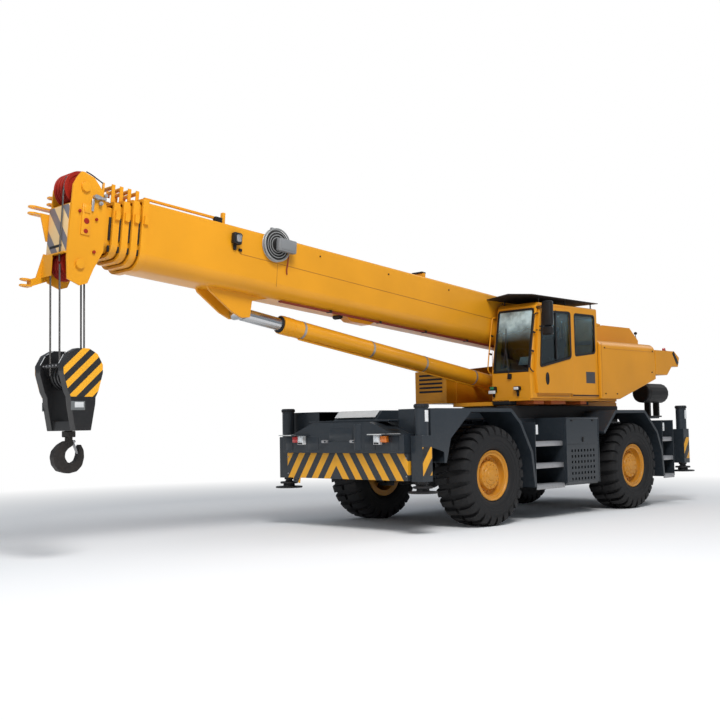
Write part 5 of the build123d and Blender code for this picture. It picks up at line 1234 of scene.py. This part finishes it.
# front panel: cream with grey bands, and a black patch near its foot: painted shade of a slot
CREAM, BAND_GREY = (0.74, 0.52, 0.26), (0.16, 0.15, 0.17)
cream_bands = striped("cream_bands", CREAM, BAND_GREY, 0.36, 0.9, "Y", share=0.58, offset=0.1)
panel = ((11.4915, 0, -0.015), (0.004, 0.50, 0.61), 0.0015)
slot = ((11.4945, -0.02, -0.225), (0.004, 0.30, 0.035), 0.0015)
boom_blocks("head_panel", cream_bands, "boom_section_5", panel)
boom_blocks("head_slot", matt_black, "boom_section_5", slot)
# rope socket with its pin and a clamp at the upper rear edge
SOCKET = ((-0.10, 0.0), (-0.10, 0.014), (-0.04, 0.018), (0.03, 0.034), (0.05, 0.034), (0.055, 0.0))
SOCKET_PIN = ((-0.03, 0.0), (-0.03, 0.024), (0.035, 0.024), (0.035, 0.0))
STUD = ((0.0, 0.0), (0.0, 0.026), (0.05, 0.026), (0.05, 0.012), (0.075, 0.012), (0.075, 0.0))
STOP = ((0.0, 0.0), (0.0, 0.022), (0.04, 0.022), (0.04, 0.0))
bm = bmesh.new()
turned(bm, SOCKET, on_boom(11.10, 0.285, 0.44), ALONG, steps=24)
turned(bm, SOCKET_PIN, on_boom(11.17, 0.285, 0.44), LEFT, steps=24)
slab(bm, boom_frame(11.14, 0.285, 0.44), (0.10, 0.05, 0.014), 0.004)
turned(bm, STUD, on_boom(11.08, 0.262, 0.37), (0.2, 1, 0), steps=20)
turned(bm, STOP, on_boom(11.02, 0.262, 0.49), LEFT, steps=20)
slab(bm, boom_frame(11.19, 0.278, 0.33), (0.035, 0.02, 0.16), 0.006)
piece("rope_socket", bm, bright_steel, "boom_section_5", smooth=40)
boom_blocks(
    "socket_lug",
    boom_paint,
    "boom_section_5",
    ((11.26, 0.268, 0.13), (0.13, 0.022, 0.40), 0.010),
    ((11.26, 0.281, 0.26), (0.09, 0.022, 0.10), 0.010),
    smooth=35,
)
clamp = ((10.99, 0.285, 0.44), (0.05, 0.035, 0.05), 0.008)
boom_blocks("rope_clamp", white_paint, "boom_section_5", clamp, smooth=35)


# ---------------------------------------------------------------- ropes
# Laid steel rope, grey with grease: the falls of the hook block and the line over the head.
# The falls are straight, and the lines are bent round the head's guards.
laid = ([("bands_direction", "DIAGONAL")], {"Scale": 42.0, "Distortion": 0.3})
strand = roped("laid_rope", laid, 22.0, (0.030, 0.028, 0.026), (0.23, 0.22, 0.21), 0.003, 0.42)
HEAD_LINE = ((10.975, 0.12, 0.690), (11.10, 0.17, 0.712), (11.20, 0.21, 0.735), (11.29, 0.235, 0.745))
LEAD_ROPE = ((11.49, 0.66), (11.528, 0.52), (11.514, 0.28), (11.510, -0.30), (11.496, -0.43))  # along, up
dress("rope_falls", strand)
pipe("head_line", [on_boom(*spot) for spot in HEAD_LINE], 0.009, strand, "boom_section_5")
boom_blocks("head_line_post", boom_paint, "boom_section_5", ((10.975, 0.12, 0.55), (0.03, 0.03, 0.31), 0.008))
pipe("lead_rope", [on_boom(s, ROWS[3], up) for s, up in LEAD_ROPE], 0.011, strand, "boom_section_5")


# ---------------------------------------------------------------- lift cylinder
# One big ram under the boom: yellow barrel with a ringed gland, chrome-plated rod.
# A pipe runs along the barrel's top under steel bands.
FOOT = at(0.27, 0, 2.39)
REACH = on_boom(8.58, 0, -0.62) - FOOT
LEAN = REACH.normalized()
BARREL_END = FOOT + LEAN * (REACH.length - 0.78)
GLAND = (
    # along from the barrel's end, radius
    (-0.24, 0.134), (-0.24, 0.140), (-0.21, 0.141), (-0.21, 0.136), (-0.17, 0.136), (-0.17, 0.142),
    (-0.12, 0.142), (-0.12, 0.139), (-0.08, 0.139), (-0.08, 0.142), (-0.035, 0.142), (-0.035, 0.138),
    (-0.004, 0.138), (-0.004, 0.134),
)
NECK = ((-0.14, 0.10), (-0.14, 0.1345), (-0.004, 0.1345), (-0.004, 0.10))
SEAL = ((0.0, 0.097), (0.0, 0.125), (0.012, 0.125), (0.018, 0.112), (0.018, 0.097))
BAND = ((-0.02, 0.134), (-0.02, 0.140), (0.02, 0.140), (0.02, 0.134))
eased("lift_barrel", 0.006, boom_paint, "lift_barrel")
chrome = weathered("chrome_rod", (0.62, 0.63, 0.64), 0.16, dust=0.05, grain=30.0, depth=0.0, metal=1.0)
dress("lift_rod", chrome)
bm = bmesh.new()
turned(bm, GLAND, BARREL_END, LEAN, ring=True)
turned(bm, NECK, BARREL_END, LEAN, ring=True)
piece("gland_rings", bm, boom_paint, "lift_barrel", smooth=30)
spun("gland_seal", matt_black, "lift_barrel", SEAL, BARREL_END, LEAN, steps=64, ring=True)
below = Vector(LEFT).cross(LEAN)
below *= 1 if below.z > 0 else -1
over = [FOOT + LEAN * d + below * -0.152 + Vector((0, 0.03, 0)) for d in (0.5, 2.4, REACH.length - 1.15)]
pipe("ram_pipe", over, 0.014, boom_paint, "lift_barrel", sharp=True)
bm = bmesh.new()
for d in (0.55, 1.9, 3.2, REACH.length - 1.2):
    turned(bm, BAND, FOOT + LEAN * d, LEAN, steps=48, ring=True)
piece("ram_bands", bm, bright_steel, "lift_barrel", smooth=30)


# ---------------------------------------------------------------- hook block
# Two thick striped cheek weights, four sheaves between them and a forged hook below.
# The cheeks are cast, painted black, and carry blank plates near their feet.
CHEEK = ((0.080, 2.635), (0.195, 2.570), (0.268, 2.440), (0.268, 2.335), (0.205, 2.110), (0.170, 2.040))
BLOCK_BLACK = (0.011, 0.011, 0.012)
SHEAVE_Z, KEEPER_Z = 2.31, 2.43
block_low, block_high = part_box("hook_block")
BLOCK_X = (block_low.x + block_high.x) / 2
block_black = weathered("block_black", BLOCK_BLACK, 0.36, dust=0.12, coat=0.2)
eased("hook_block", 0.008, block_black, "hook_block")
bm = bmesh.new()
for y in ROWS:
    sheave(bm, Vector((BLOCK_X, y, SHEAVE_Z)), 0.178, 0.021, 0.045)
dark_sheave = weathered("dark_sheave", (0.020, 0.017, 0.016), 0.4, dust=0.2)
piece("block_sheaves", bm, dark_sheave, "hook_block", smooth=35)
# the middle of one yellow band crosses the cheek a little ahead of the sheaves' pin
BAND_PITCH, BAND_SLOPE = 0.223, 1.085
start = BAND_PITCH / 4 - (BLOCK_X + 0.085) - BAND_SLOPE * SHEAVE_Z
bands = striped("block_bands", STRIPE_YELLOW, BLOCK_BLACK, BAND_PITCH, BAND_SLOPE, "X", offset=start)
plates, pale, marks = bmesh.new(), bmesh.new(), bmesh.new()
for hand in (1, -1):
    outline = list(CHEEK) + [(-x, z) for x, z in reversed(CHEEK)]
    face = marks.faces.new([marks.verts.new((BLOCK_X + x, hand * 0.3603, z)) for x, z in outline])
    bmesh.ops.delete(marks, geom=framed(marks, face, 0.032), context="FACES")
    slab(plates, (BLOCK_X + 0.075, hand * 0.3615, 1.93), (0.19, 0.003, 0.11), 0.001)
    slab(pale, (BLOCK_X + 0.060, hand * 0.3635, 1.94), (0.12, 0.003, 0.065), 0.001)
    # pale strips along the upper front edges of the cheeks' inner faces: painted highlights
    for (x0, z0), (x1, z1) in ((CHEEK[1], CHEEK[2]), (CHEEK[0], CHEEK[1])):
        middle = Vector((BLOCK_X + (x0 + x1) / 2, hand * 0.232, (z0 + z1) / 2))
        edge = Vector((x1 - x0, 0, z1 - z0))
        slab(pale, placed(middle, (z0 - z1, 0, x1 - x0), edge), (0.012, edge.length * 0.86, 0.006), 0.001)
bmesh.ops.recalc_face_normals(marks, faces=marks.faces)
sticker = piece("block_stripes", marks, bands, "hook_block")
sticker.modifiers.new("skin", "SOLIDIFY").thickness = 0.0012
plate_dark = weathered("plate_dark", (0.14, 0.15, 0.15), 0.4, dust=0.1)
piece("block_plates", plates, plate_dark, "hook_block", smooth=30)
piece("block_bright", pale, pale_plate, "hook_block", smooth=30)
# keeper bars across the mouth of the sheaves, one with a row of bolt heads
keepers = [((BLOCK_X + x, 0, KEEPER_Z), (0.024, 0.46, 0.05), 0.005) for x in (0.222, -0.222)]
blocks("block_keepers", block_black, "hook_block", *keepers)
bm = bmesh.new()
for k in range(6):
    bolt(bm, (BLOCK_X + 0.234, 0.2 - 0.08 * k, KEEPER_Z), AHEAD, 0.012, 0.010)
piece("block_bolts", bm, bright_steel, "hook_block", smooth=30)


# ---------------------------------------------------------------- hook
# Forged black hook with rounded flanks, a turned collar, and a sprung latch of bright steel.
forged = weathered("forged_steel", (0.018, 0.015, 0.014), 0.45, dust=0.2, grain=60.0, depth=0.001)


def across_hook(edge):
    """Whether the edge runs from one flat of the hook to the other."""
    start, end = (vert.co for vert in edge.verts)
    return edge.is_manifold and abs((start - end).y) > 0.09


bm = merged("hook")
rounded(bm, [edge for edge in bm.edges if across_hook(edge)], 0.016, 3)
hook = piece("hook_forging", bm, forged, "hook", smooth=50)
round_off = hook.modifiers.new("round", "BEVEL")
round_off.width, round_off.segments, round_off.limit_method = 0.024, 4, "ANGLE"
round_off.angle_limit = radians(50)
evened(hook)
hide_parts("hook")
LATCH_AT = Vector((BLOCK_X - 0.085, 0, 1.415))
LATCH_PIN = ((-0.052, 0.0), (-0.052, 0.018), (0.052, 0.018), (0.052, 0.0))
COLLAR = ((1.545, 0.0), (1.545, 0.075), (1.553, 0.083), (1.615, 0.083), (1.623, 0.075), (1.623, 0.0))
bm = bmesh.new()
slab(bm, placed(LATCH_AT, LEFT, (0.45, 0, 1)), (0.018, 0.17, 0.05), 0.006)
turned(bm, LATCH_PIN, LATCH_AT + Vector((0.035, 0, 0.078)), LEFT, steps=20)
piece("hook_latch", bm, bright_steel, "hook", smooth=35)
spun("hook_nut", forged, "hook", COLLAR, Vector((BLOCK_X, 0, 0)))
